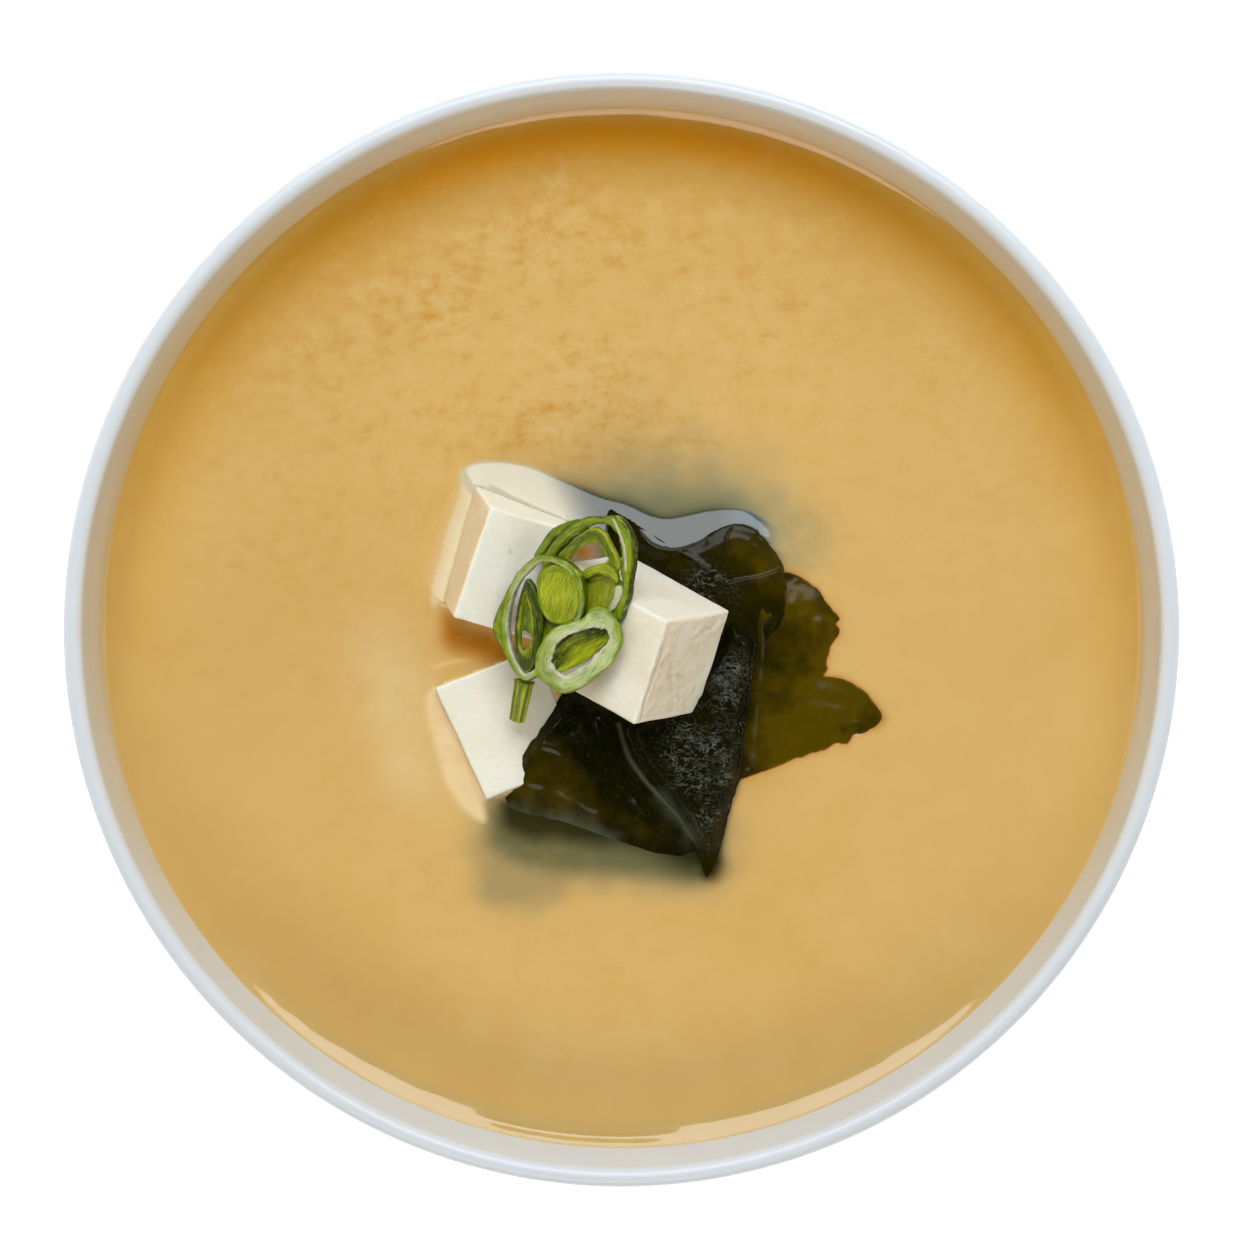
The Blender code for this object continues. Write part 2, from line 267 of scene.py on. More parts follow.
class Finish:
    # A material with one Principled shader, whose fixed values are set when it is made

    def __init__(self, name, fixed):
        self.material = bpy.data.materials.new(name)
        self.material.use_nodes = True
        self.tree = self.material.node_tree
        self.shader = self.tree.nodes["Principled BSDF"]
        for socket, value in fixed.items():
            self.shader.inputs[socket].default_value = value

    def node(self, kind, settings=None, sockets=None, output=0):
        made = self.tree.nodes.new(kind)
        for name, value in (settings or {}).items():
            if name == "stops":
                ramp = made.color_ramp
                while len(ramp.elements) < len(value):
                    ramp.elements.new(1.0)
                for element, (position, colour) in zip(ramp.elements, value):
                    element.position = position
                    grey = (colour, colour, colour, 1.0)
                    element.color = (*colour, 1.0) if len(np.shape(colour)) else grey
            else:
                setattr(made, name, value)
        for key, value in (sockets or {}).items():
            if isinstance(value, Wire):
                self.tree.links.new(value.socket, made.inputs[key])
            else:
                made.inputs[key].default_value = value
        return Wire(self, made.outputs[output])

    def place(self):
        # Object coordinates, in metres
        return self.node("ShaderNodeTexCoord", output="Object")

    def value(self, name):
        return self.node("ShaderNodeAttribute", {"attribute_name": name}, output="Fac")

    def colour(self, name):
        return self.node("ShaderNodeAttribute", {"attribute_name": name}, output="Color")

    def vector(self, name):
        return self.node("ShaderNodeAttribute", {"attribute_name": name}, output="Vector")

    def noise(self, vector, size, detail=2.0, rough=0.5, distortion=0.0):
        # Noise from 0 to 1 whose features are about size across, in the vector's own unit
        return self.node("ShaderNodeTexNoise", None, {
            "Vector": vector, "Scale": 1.0 / size, "Detail": detail, "Roughness": rough,
            "Distortion": distortion})

    def ramp(self, value, low, high, bottom=0.0, top=1.0):
        # Goes from bottom to top as the value goes from low to high
        return self.node("ShaderNodeMapRange", {"clamp": True}, {
            "Value": value, "From Min": low, "From Max": high, "To Min": bottom, "To Max": top})

    def mix(self, factor, first, second, blend="MIX"):
        first = first if isinstance(first, Wire) else (*first, 1.0)
        second = second if isinstance(second, Wire) else (*second, 1.0)
        return self.node("ShaderNodeMix", {"data_type": "RGBA", "blend_type": blend}, {
            0: factor, 6: first, 7: second}, output=2)

    def stretched(self, vector, scale):
        return self.node("ShaderNodeVectorMath", {"operation": "MULTIPLY"}, {0: vector, 1: scale})

    def bump(self, height, depth, strength=1.0):
        # Height from 0 to 1 stands for depth in metres
        return self.node("ShaderNodeBump", None,
            {"Strength": strength, "Distance": depth, "Height": height})

    def set(self, socket, wire):
        self.tree.links.new(wire.socket, self.shader.inputs[socket])


bowl = {
    "rimRadius": 59.98, "height": 58.0, "lipWall": 2.1, "baseWall": 3.6,
    "wallBottomRadius": 29.0, "wallBottomHeight": 5.0, "curveHeight": 70.0,
    "footOuter": 28.0, "footInner": 24.6, "footEdge": 0.7,
    "segments": 288, "floorRings": 12, "wallRings": 96, "lipRings": 18, "underRings": 8,
    "turningDepth": 0.02,  # faint rings left by the potter's wheel
}


def wallPoints(share):
    # The outer wall on its ellipse, r = bottom + width sin t and z = centre - height cos t, and the inner
    # wall one thickness inside it; share runs from 0 at the foot to 1 at the lip
    topHeight = bowl["height"] - bowl["lipWall"] / 2
    centreHeight = bowl["wallBottomHeight"] + bowl["curveHeight"]
    last = math.acos((centreHeight - topHeight) / bowl["curveHeight"])
    width = (bowl["rimRadius"] - bowl["wallBottomRadius"]) / math.sin(last)
    turn = share * last
    outer = np.stack([bowl["wallBottomRadius"] + width * np.sin(turn),
                      centreHeight - bowl["curveHeight"] * np.cos(turn)], axis=-1)
    normal = np.stack([np.sin(turn) / width, -np.cos(turn) / bowl["curveHeight"]], axis=-1)
    normal /= np.linalg.norm(normal, axis=-1, keepdims=True)
    thickness = bowl["baseWall"] + (bowl["lipWall"] - bowl["baseWall"]) * share
    return outer, outer - normal * thickness[..., None], normal


def bowlProfile():
    # From the middle of the floor inside, up the inner wall, over the round lip, down outside and under the
    # foot
    outer, inner, normal = wallPoints(np.linspace(0.0, 1.0, bowl["wallRings"]))
    middle, across = (outer[-1] + inner[-1]) / 2, (outer[-1] - inner[-1]) / 2
    up = np.array((-across[1], across[0]))
    arc = np.linspace(math.pi, 0.0, bowl["lipRings"] + 2)[1:-1, None]
    lip = middle + across * np.cos(arc) + up * np.sin(arc)
    floor = inner[0][1]
    floorRings = np.stack(
        [np.linspace(1.0, inner[0][0] - 0.8, bowl["floorRings"]), np.full(bowl["floorRings"], floor)],
        axis=-1)
    edge, under = bowl["footEdge"], bowl["wallBottomHeight"]
    foot = [(bowl["footOuter"] + 0.35, under - 0.35), (bowl["footOuter"], under - edge),
            (bowl["footOuter"] - 0.08, under - 2 * edge), (bowl["footOuter"] - 0.3, edge * 1.6),
            (bowl["footOuter"] - 0.42, edge), (bowl["footOuter"] - 0.6, 0.2),
            (bowl["footOuter"] - edge - 0.1, 0.0), (bowl["footInner"] + edge + 0.1, 0.0),
            (bowl["footInner"] + 0.35, 0.2), (bowl["footInner"], edge),
            (bowl["footInner"], under - 2 * edge), (bowl["footInner"] - 0.4, under - 1.4 * edge),
            (bowl["footInner"] - 2 * edge, under - edge)]
    underRings = np.stack(
        [np.linspace(bowl["footInner"] - 4 * edge, 1.0, bowl["underRings"]),
        np.full(bowl["underRings"], under - edge)], axis=-1)
    return np.concatenate([floorRings, inner, lip, outer[::-1], foot, underRings])


def buildBowl():
    # The profile turned about the axis, with the wheel's faint rings on both walls
    profile = bowlProfile()
    turn = np.linspace(0.0, 2 * math.pi, bowl["segments"], endpoint=False)
    radius, height = profile[:, :1], profile[:, 1:]
    along = np.cumsum(np.hypot(*np.diff(profile, axis=0, prepend=profile[:1]).T))[:, None]
    wheel = latticeNoise(flat(along, 0.0, 0.0), 1.7, 5) + 0.6 * latticeNoise(flat(along, 0.0, 0.0), 0.8, 6)
    onWall = smooth(9.0, 14.0, height) * (1.0 - smooth(56.6, 57.2, height))
    radius = radius + wheel * onWall * bowl["turningDepth"] + 0.0 * turn
    points = flat(radius * np.cos(turn), radius * np.sin(turn), height)
    points, faces = capped(points)
    px, py, pz = points.T
    ring = np.hypot(px, py)
    # The inner wall takes on the soup's colour as painted reflection and painted shade, least on the side
    # towards the front, where it faces the light, and up to the middle of the lip
    innerRings = bowl["floorRings"] + bowl["wallRings"] + bowl["lipRings"] // 2
    order = np.arange(len(points)) // bowl["segments"]
    side = 0.12 + 0.88 * smooth(-0.95, -0.15, py / np.maximum(ring, 1.0))
    reach = smooth(55.2, 59.3, ring + 0.12 * fractal(points, 6.0, 2, 8))
    front = np.maximum(-py / np.maximum(ring, 1.0), 0.0)
    reach = np.maximum(reach, smooth(55.2, 57.4, ring) * front)
    stain = (1.0 - reach) * np.maximum(side, (1.0 - smooth(54.9, 55.9, ring))) * (order < innerRings)
    # Painted shade: the outer wall is a greyer white, to make up for the light it gets from the glowing
    # floor
    outside = smooth(57.4, 54.0, pz) * (order > innerRings)
    glaze = Finish("glazed_porcelain", {"Roughness": 0.3, "IOR": 1.48})
    place = glaze.place()
    high = glaze.node("ShaderNodeSeparateXYZ", None, {0: place}, output=2)
    cloud = glaze.noise(place, 0.018, 3.0)
    body = glaze.mix(cloud, tuple(linear((214, 219, 222))), tuple(linear((220, 225, 228))))
    # The painted reflection lies in fine level lines
    lines = glaze.noise(glaze.stretched(place, (0.04, 0.04, 1.0)), 0.0009, 3.0, 0.6)
    reflectionInLines = glaze.value("stain") * glaze.ramp(lines, 0.36, 0.64, 0.68, 1.1)
    film = glaze.mix(reflectionInLines, body, tuple(linear((228, 200, 128))))
    # Painted shade on the outer wall
    film = glaze.mix(glaze.value("outside"), film, tuple(linear((196, 198, 200))))
    bare = glaze.ramp(high, 0.0004, 0.0001)
    spot = glaze.ramp(glaze.noise(place, 0.0007, 2.0), 0.35, 0.65, 0.9, 1.0)
    clay = glaze.mix(spot, tuple(linear((196, 188, 174))), tuple(linear((224, 219, 208))))
    glaze.set("Base Color", glaze.mix(bare, film, clay))
    glaze.set("Roughness", glaze.ramp(bare, 0.0, 1.0, 0.3, 0.85))
    peel = glaze.noise(place, 0.0016, 2.0)
    glaze.set("Normal", glaze.bump(peel, 0.000012))
    values = {"stain": np.clip(stain, 0.0, 1.0), "outside": outside}
    return buildPiece("porcelain_bowl", [(points, faces, values)], glaze.material, ["bowl"])


tofu = {
    "rounding": 0.45, "steps": 84,
    "blocks": {
        "tofu_block_left": {
            "node": "tofu_left", "seed": 11, "extraShade": 0.0, "waterline": 0.5, "rise": 0.85,
            "corner": (-14.1, 13.3, 6.5),
            "edges": ((-4.2, -12.2, -1.5), (9.3, -2.7, -2.6), (-3.6, 4.4, -10.5))},
        "tofu_block_right": {
            "node": "tofu_right", "seed": 23, "extraShade": 0.0, "waterline": 0.5, "rise": 0.85,
            "corner": (5.0, 1.0, 13.5),
            "edges": ((-3.6, -11.4, -3.7), (-11.6, 6.3, -6.5), (7.0, 1.1, -8.1))},
        "tofu_block_front": {
            "node": "tofu_front", "seed": 37, "extraShade": 0.08, "waterline": 0.1, "rise": 0.35,
            "corner": (-20.5, -6.4, 1.5),
            "edges": ((5.7, -12.4, -0.4), (11.1, 4.2, -0.7), (-0.9, -0.6, -10.5))},
    },
}


def blockSection(block, level):
    # The outline in which a block cuts the flat level, from the crossings of its twelve edges
    corner, edges = np.array(block["corner"]), np.array(block["edges"])
    crossings = []
    for i in range(3):
        others = [edges[j] for j in range(3) if j != i]
        for first in (0, 1):
            for second in (0, 1):
                start = corner + others[0] * first + others[1] * second
                share = (level - start[2]) / edges[i][2]
                if 0.0 <= share <= 1.0:
                    crossings.append(start + edges[i] * share)
    outline = np.array(crossings)[:, :2]
    middle = outline.mean(axis=0)
    return outline[np.argsort(np.arctan2(*(outline - middle).T[::-1]))]


def blockDepth(x, y, block):
    # How far under the soup a point straight below first meets the block; a large number where it never
    # does
    edges = np.array(block["edges"])
    inverse = np.linalg.inv(edges.T)
    start = (flat(x, y, 0.0) - np.array(block["corner"])) @ inverse.T
    step = np.array((0.0, 0.0, -1.0)) @ inverse.T
    near, far = (0.0 - start) / step, (1.0 - start) / step
    enter = np.minimum(near, far).max(axis=-1)
    leave = np.maximum(near, far).min(axis=-1)
    return np.where((leave > enter) & (leave > 0.0), np.maximum(enter, 0.0), 99.0)


def cubeSkin(steps):
    # The whole-number points on the skin of a cube, each once, and its faces
    line = np.arange(steps + 1)
    first, second = (part.ravel() for part in np.meshgrid(line[:-1], line[:-1], indexing="ij"))
    corners = []
    for axis in range(3):
        for side in (0, steps):
            square = [(first, second), (first + 1, second), (first + 1, second + 1), (first, second + 1)]
            if (side == 0) == (axis != 1):
                square = square[::-1]
            faces = []
            for a, b in square:
                face = np.zeros((len(a), 3), dtype=int)
                others = [i for i in range(3) if i != axis]
                face[:, axis], face[:, others[0]], face[:, others[1]] = side, a, b
                faces.append(face)
            corners.append(np.stack(faces, axis=1))
    corners = np.concatenate(corners)
    unique, index = np.unique(corners.reshape(-1, 3), axis=0, return_inverse=True)
    return unique, index.reshape(-1, 4)


def tofuTexture(points, normal, block, share, fromEdge):
    # Shallow waves from the knife, a fine curd grain, small pores, and on the cut faces slanting tears
    seed = block["seed"]
    waves = 0.16 * latticeNoise(points, 5.5, seed) + 0.05 * latticeNoise(points, 2.4, seed + 1)
    grain = 0.018 * fractal(points, 0.9, 3, seed + 2)
    pores = -0.10 * smooth(0.62, 0.9, latticeNoise(points, 0.75, seed + 5))
    pores *= smooth(-0.1, 0.4, latticeNoise(points, 4.0, seed + 6))
    slanted = points @ np.array(((0.9, 0.35, 0.1), (-0.35, 0.9, 0.1), (0.2, -0.2, 1.0)))
    tears = latticeNoise(slanted / np.array((2.4, 0.55, 0.7)), 1.0, seed + 7)
    tears = tears + 0.6 * latticeNoise(slanted / np.array((1.1, 0.32, 0.35)), 1.0, seed + 8)
    torn = 0.25 * smooth(0.4, 0.9, -normal[:, 0])
    if block["node"] == "tofu_right":
        torn = smooth(0.55, 0.9, normal[:, 0])
    shape = waves * 0.4 + grain + pores + 0.17 * tears * torn * smooth(0.1, 1.0, fromEdge)
    if block["node"] == "tofu_right":
        # A crack runs beside the ridge between the top and the right face
        path = 0.9 + 0.35 * latticeNoise(points, 1.6, seed + 9)
        path = path + 0.15 * latticeNoise(points, 0.6, seed + 10)
        offset = np.abs(share[:, 2] * 10.7 - path)
        reach = smooth(2.2, 4.2, share[:, 0] * 12.5) * (1.0 - smooth(11.4, 12.4, share[:, 0] * 12.5))
        shape = shape - 0.3 * np.exp(-(offset / 0.19) ** 2) * reach * smooth(0.5, 0.8, normal[:, 0])
    return shape


def buildTofu():
    # A cube's skin drawn into each block's skewed edges, rounded by keeping a fixed distance from a smaller
    # block
    curd = Finish("silken_tofu", {
        "Roughness": 0.42, "IOR": 1.42, "Subsurface Weight": 0.35, "Subsurface Radius": (1.0, 0.62, 0.36),
        "Subsurface Scale": 0.0022, "Coat Weight": 0.25, "Coat Roughness": 0.22})
    place = curd.place()
    patch = curd.noise(place, 0.0045, 4.0, 0.55)
    fine = curd.noise(place, 0.00042, 3.0, 0.6)
    tone = curd.mix(curd.ramp(patch, 0.38, 0.66), tuple(linear((243, 238, 218))),
        tuple(linear((248, 245, 231))))
    tone = curd.mix(curd.ramp(fine, 0.3, 0.62, 0.22, 0.0), tone, tuple(linear((222, 210, 180))))
    soaked = curd.value("soaked")
    # Broth in the sides, and painted warm shade on the side faces
    tone = curd.mix(soaked, tone, tuple(linear((232, 200, 140))))
    # Painted shade: darker in the hollows of the texture and over the whole front block
    curd.set("Base Color", curd.mix(curd.value("shade"), tone, tuple(linear((206, 176, 128)))))
    curd.set("Normal", curd.bump(fine + patch * 0.5, 0.00006, 0.6))
    lattice, faces = cubeSkin(tofu["steps"])
    share = lattice / tofu["steps"]
    share = share - 0.7 * np.sin(2 * math.pi * share) / (2 * math.pi)  # points gather at the edges
    for name, block in tofu["blocks"].items():
        edges = np.array(block["edges"])
        lengths = np.linalg.norm(edges, axis=1)
        unrounded = share * lengths
        wobble = latticeNoise(unrounded, 3.0, block["seed"] + 20)
        rounding = tofu["rounding"] * (1.0 + 0.35 * wobble)[:, None]
        inner = np.clip(unrounded, rounding, lengths - rounding)
        away = unrounded - inner
        away /= np.maximum(np.linalg.norm(away, axis=1, keepdims=True), 1e-9)
        straight = inner + away * rounding
        units = edges / lengths[:, None]
        points = np.array(block["corner"]) + straight @ units
        normal = away @ np.linalg.inv(units).T
        normal /= np.linalg.norm(normal, axis=1, keepdims=True)
        fromEdge = np.sort(np.minimum(unrounded, lengths - unrounded), axis=1)[:, 1]
        texture = tofuTexture(points, normal, block, share, fromEdge)
        keep = 0.10  # the block stays a little inside its own box, so that its waves don't leave it
        points = points + normal * (texture - keep)[:, None]
        level = points[:, 2]
        # The sides that hang in the broth have drawn it in, more so lower down, and the side faces are
        # given painted warm shade by the way they face
        aside = smooth(0.35, 0.95, np.abs(normal[:, 0])) + 0.5 * smooth(0.3, 0.9, -normal[:, 1])
        soakAndShadeAmount = 0.30 + 0.14 * fractal(points, 3.5, 3, block["seed"] + 30)
        aside = aside + 0.9 * smooth(0.35, 0.85, -normal[:, 0])
        nearSoup = np.exp(-np.maximum(level - 0.3, 0.0) / 0.8) * (aside > 0.1)
        soaked = np.clip(aside * soakAndShadeAmount, 0.0, 0.7) + 0.5 * nearSoup
        # Painted shade in every hollow of the surface: pores, tears and the crack
        crack = smooth(0.02, 0.18, -texture) * 0.75
        points[:, 2] += soupLevel
        values = {"soaked": np.clip(soaked, 0.0, 0.8),
            "shade": np.clip(0.75 * crack + block["extraShade"], 0.0, 1.0)}
        buildPiece(name, [(points, [faces], values)], curd.material, [block["node"]])


leaves = {
    "wakame_leaf_back": {
        "node": "wakame_back", "seed": 3, "centre": (8.4, 7.0), "level": 0.95, "thickness": 0.4,
        "edge": 0.72,
        "rim": 1.4,
        "outline": (
            (-1.6, 12.7), (-0.4, 12.5), (1.6, 11.3), (3.1, 9.6), (5.0, 8.9), (7.4, 9.4), (10.0, 10.6),
            (12.2, 11.5), (13.5, 11.3), (14.8, 10.6), (16.1, 9.5), (17.7, 6.6), (18.0, 4.0), (17.4, 0.6),
            (14.6, -2.0), (10.0, -1.0), (4.0, 2.0), (-1.6, 8.0)),
        "hills": ((12.0, 6.5, 4.0, 0.55), (2.4, 7.6, 2.6, -1.0), (16.5, 1.0, 2.6, -0.5)), "baseTone": 0.12,
        "ridges": (
            (((11.6, 4.8), (13.2, 5.2), (15.4, 5.6), (17.6, 6.3)), 0.28, 0.42),
            (((12.0, 11.0), (11.4, 9.8), (11.3, 8.6), (11.0, 7.6)), 0.16, 0.10),
            (((6.8, 8.2), (9.0, 6.6), (11.0, 5.0)), 0.5, 0.18)),
        "crinkles": ((10.4, 4.4, 1.8, 1.0), (8.4, 5.4, 1.6, 0.8)),
        "tones": ((14.0, 8.4, 3.4, 0.22), (16.0, 5.4, 2.2, 0.32), (8.0, 8.0, 2.4, 0.10),
        (12.0, 10.0, 2.0, 0.12))},
    "wakame_leaf_right": {
        "node": "wakame_right", "seed": 5, "centre": (18.2, -5.0), "level": 0.42, "thickness": 0.34,
        "edge": 0.2,
        "rim": 3.2,
        "outline": (
            (16.6, 5.6), (18.2, 6.2), (20.2, 5.3), (21.6, 4.2), (22.5, 2.6), (23.8, 1.3), (23.5, 0.6),
            (23.8, -0.3), (22.7, -2.2), (22.5, -4.2), (22.1, -5.2), (23.2, -5.3), (24.7, -5.7),
            (26.6, -6.9), (27.5, -8.1), (28.5, -9.8), (26.6, -11.3), (25.6, -11.6), (24.8, -12.5),
            (23.8, -12.6), (21.6, -13.4), (19.5, -14.1), (15.7, -15.5), (12.2, -16.4), (11.4, -12.0),
            (11.2, -7.0), (11.8, -1.0), (13.4, 3.6)),
        "hills": ((18.6, -1.0, 4.0, 0.30), (24.0, -9.0, 3.0, 0.24), (16.2, -8.0, 2.0, 0.3)),
        "baseTone": 0.3,
        "ridges": (
            (((15.5, 5.0), (15.1, 0.2), (14.9, -5.0), (14.2, -11.0), (13.9, -15.0)), 0.45, 0.35),
            (((19.0, 4.0), (18.2, 1.4), (17.4, -2.0), (16.8, -6.0)), 0.6, 0.14),
            (((16.6, 2.4), (17.6, 3.6), (19.0, 5.2)), 0.35, 0.10),
            (((21.6, 0.6), (20.8, -1.6), (20.8, -4.0)), 0.6, 0.12),
            (((17.4, -7.5), (19.6, -8.4), (22.6, -8.8), (25.6, -9.4)), 0.7, 0.10)),
        "crinkles": (),
        "tones": (
            (24.4, -8.4, 3.6, 0.95), (20.6, -11.0, 4.0, 0.95), (17.0, -13.0, 2.6, 1.0),
            (19.2, 3.6, 2.2, 0.62), (22.0, 0.0, 2.0, 0.72), (17.6, 0.4, 2.0, 0.42), (16.0, -6.0, 1.6, 0.40),
            (18.8, -5.0, 2.0, 0.30), (16.0, 3.2, 1.6, 0.30), (22.4, -4.0, 2.0, 0.5))},
    "wakame_leaf_folded": {
        "node": "wakame_fold", "seed": 7, "centre": (9.6, -11.6), "level": 2.35, "thickness": 0.55,
        "edge": 0.85,
        "rim": 1.5,
        "outline": (
            (11.4, 0.9), (12.8, 1.1), (14.3, -0.4), (14.8, -1.4), (14.5, -3.0), (14.2, -5.4), (14.0, -7.7),
            (13.7, -9.6), (13.5, -11.3), (13.1, -16.0), (12.6, -17.4), (11.7, -20.5), (10.8, -24.0),
            (10.2, -25.6), (9.2, -27.3), (8.6, -25.4), (7.8, -23.6), (6.4, -20.9), (4.6, -18.6),
            (2.9, -16.4), (1.6, -14.4), (0.8, -12.6), (0.5, -10.8), (3.0, -9.0), (7.0, -6.0), (10.2, -2.0)),
        "hills": ((11.6, -8.0, 3.6, 0.9), (8.0, -16.0, 3.4, 0.3), (9.2, -27.0, 4.2, -1.5)),
        "baseTone": 0.04,
        "ridges": (
            (((13.7, -1.0), (13.9, -5.0), (13.3, -10.0), (12.6, -15.6), (11.6, -19.6)), 0.5, 0.25),
            (((3.4, -14.6), (6.2, -17.4), (8.4, -21.0), (9.4, -24.6)), 0.5, -0.12),
            (((6.0, -9.4), (8.0, -12.4), (11.4, -14.4)), 0.5, 0.12)),
        "crinkles": ((7.0, -13.0, 3.6, 1.0), (10.4, -14.6, 3.4, 1.0), (12.6, -5.0, 2.4, 0.8),
        (10.6, -19.6, 3.2, 1.0),
                     (12.4, -9.6, 2.8, 0.9)),
        "tones": ((9.6, -23.4, 2.2, 0.42), (12.6, -16.0, 1.0, 0.15), (6.6, -17.6, 2.0, 0.10))},
    "wakame_leaf_front": {
        "node": "wakame_front", "seed": 9, "centre": (-3.0, -15.4), "level": 0.8, "thickness": 0.36,
        "edge": 0.5,
        "rim": 1.6,
        "outline": (
            (-4.4, -5.7), (-1.2, -6.0), (2.6, -7.4), (5.2, -10.4), (6.2, -14.4), (7.6, -18.0), (8.8, -21.4),
            (9.4, -25.0), (7.6, -27.0), (4.4, -27.2), (1.0, -26.6), (-2.5, -25.7), (-5.6, -24.6),
            (-8.7, -23.8), (-11.6, -23.0), (-14.2, -21.6), (-13.0, -18.7), (-11.5, -17.2), (-11.5, -15.6),
            (-11.7, -14.2), (-10.6, -12.4), (-9.2, -10.8), (-6.6, -7.2)),
        "waterline": (
            (8.6, -24.2), (6.4, -25.0), (3.6, -24.6), (1.0, -23.8), (-1.5, -22.9), (-4.2, -21.9),
            (-6.7, -21.1), (-9.6, -20.5), (-14.0, -20.0), (-20.0, -19.0), (-20.0, -8.0), (-10.0, 0.0),
            (4.0, 0.0), (12.0, -8.0), (13.0, -20.0)),
        "hills": ((-9.4, -11.4, 3.6, 0.9), (-3.6, -9.4, 2.8, 0.4), (5.0, -13.0, 3.0, -0.5)),
        "baseTone": 0.07,
        "ridges": (
            (((-6.0, -9.0), (-4.2, -12.6), (-2.6, -16.0), (-1.0, -19.4)), 0.6, -0.22),
            (((-2.6, -10.0), (-1.6, -13.0), (0.4, -17.0), (3.0, -21.0)), 0.5, -0.18),
            (((-9.8, -12.4), (-7.0, -13.2), (-4.4, -15.2)), 0.5, 0.14),
            (((-10.6, -16.6), (-7.0, -17.4), (-3.0, -19.6)), 0.6, 0.12)),
        "crinkles": ((-5.4, -10.6, 2.2, 0.25),),
        "tones": (
            (-8.4, -15.4, 3.0, 0.26), (-6.6, -19.4, 3.0, 0.32), (-4.4, -17.0, 2.0, 0.20),
            (0.4, -15.6, 1.6, 0.10), (-2.0, -20.4, 2.4, 0.22), (2.0, -21.6, 2.0, 0.16),
            (-9.6, -12.6, 1.4, 0.20), (-10.4, -17.8, 1.6, 0.45))},
}
# Lines along which the broth lies on the leaves, with a painted meniscus highlight: path, width, strength
brothSheenLines = (
    (((-0.3, -10.5), (0.2, -12.4), (0.9, -14.2), (2.4, -16.4), (4.2, -18.4), (6.2, -20.6), (7.6, -23.0)),
     0.24, 0.55),
    (((4.6, -18.6), (6.0, -20.4), (7.4, -22.6)), 0.9, 0.28),
    (((-14.2, -20.4), (-10.4, -20.9), (-6.7, -21.4), (-4.0, -22.4), (-1.5, -23.2)), 1.1, 0.5),
)
leafGrid = {"segments": 420, "topRings": 180, "underRings": 26}


def leafHeight(x, y, inset, shape):
    # The leaf rises from its edge's height to its level over the rim's width, then hills, creases and
    # crinkles add
    seed = shape["seed"]
    place = flat(x, y, 0.0)
    edge = shape["edge"] + 0.16 * latticeNoise(place, 2.6, seed + 40)
    height = edge + (shape["level"] - edge) * smooth(0.0, shape["rim"], inset)
    height = height + blobs(x, y, shape["hills"]) * smooth(0.0, 1.6, inset)
    height = height + 0.09 * fractal(place, 5.0, 2, seed + 30) * smooth(0.0, 1.2, inset)
    for path, width, rise in shape["ridges"]:
        distance = lineDistance(x, y, openCurve(path, 24), False)
        wander = 1.0 + 0.5 * latticeNoise(place, 1.3, seed + 50)
        height = height + rise * wander * np.exp(-(distance / width) ** 2) * smooth(0.0, 0.7, inset)
    if "waterline" in shape:
        beyond = outsideBy(x, y, shape["waterline"])
        height = height * smooth(0.35, -4.0, beyond) - 0.5 * np.maximum(beyond + 0.1, 0.0)
    folds = 1.0 - np.abs(latticeNoise(place, 0.72, seed + 60) + 0.5 * latticeNoise(place, 0.4, seed + 61))
    worms = np.clip(blobs(x, y, shape["crinkles"]), 0.0, 1.0)
    height = height + 0.15 * (folds - 0.7) * worms * smooth(0.2, 0.9, inset)
    fineFolds = 1.0 - np.abs(latticeNoise(place, 1.7, seed + 62) * 1.4)
    height = height + 0.02 * fineFolds * smooth(0.0, 0.8, inset)
    return height


def leafOutline(shape):
    # The outline with a ruffle of small waves across it
    line = closedCurve(shape["outline"], leafGrid["segments"])
    away = line - np.array(shape["centre"])
    away /= np.linalg.norm(away, axis=1, keepdims=True)
    place = flat(line[:, 0], line[:, 1], 0.0)
    ruffle = 0.16 * latticeNoise(place, 0.9, shape["seed"] + 70)
    ruffle = ruffle + 0.07 * latticeNoise(place, 0.4, shape["seed"] + 71)
    return line + away * (ruffle - 0.1)[:, None]


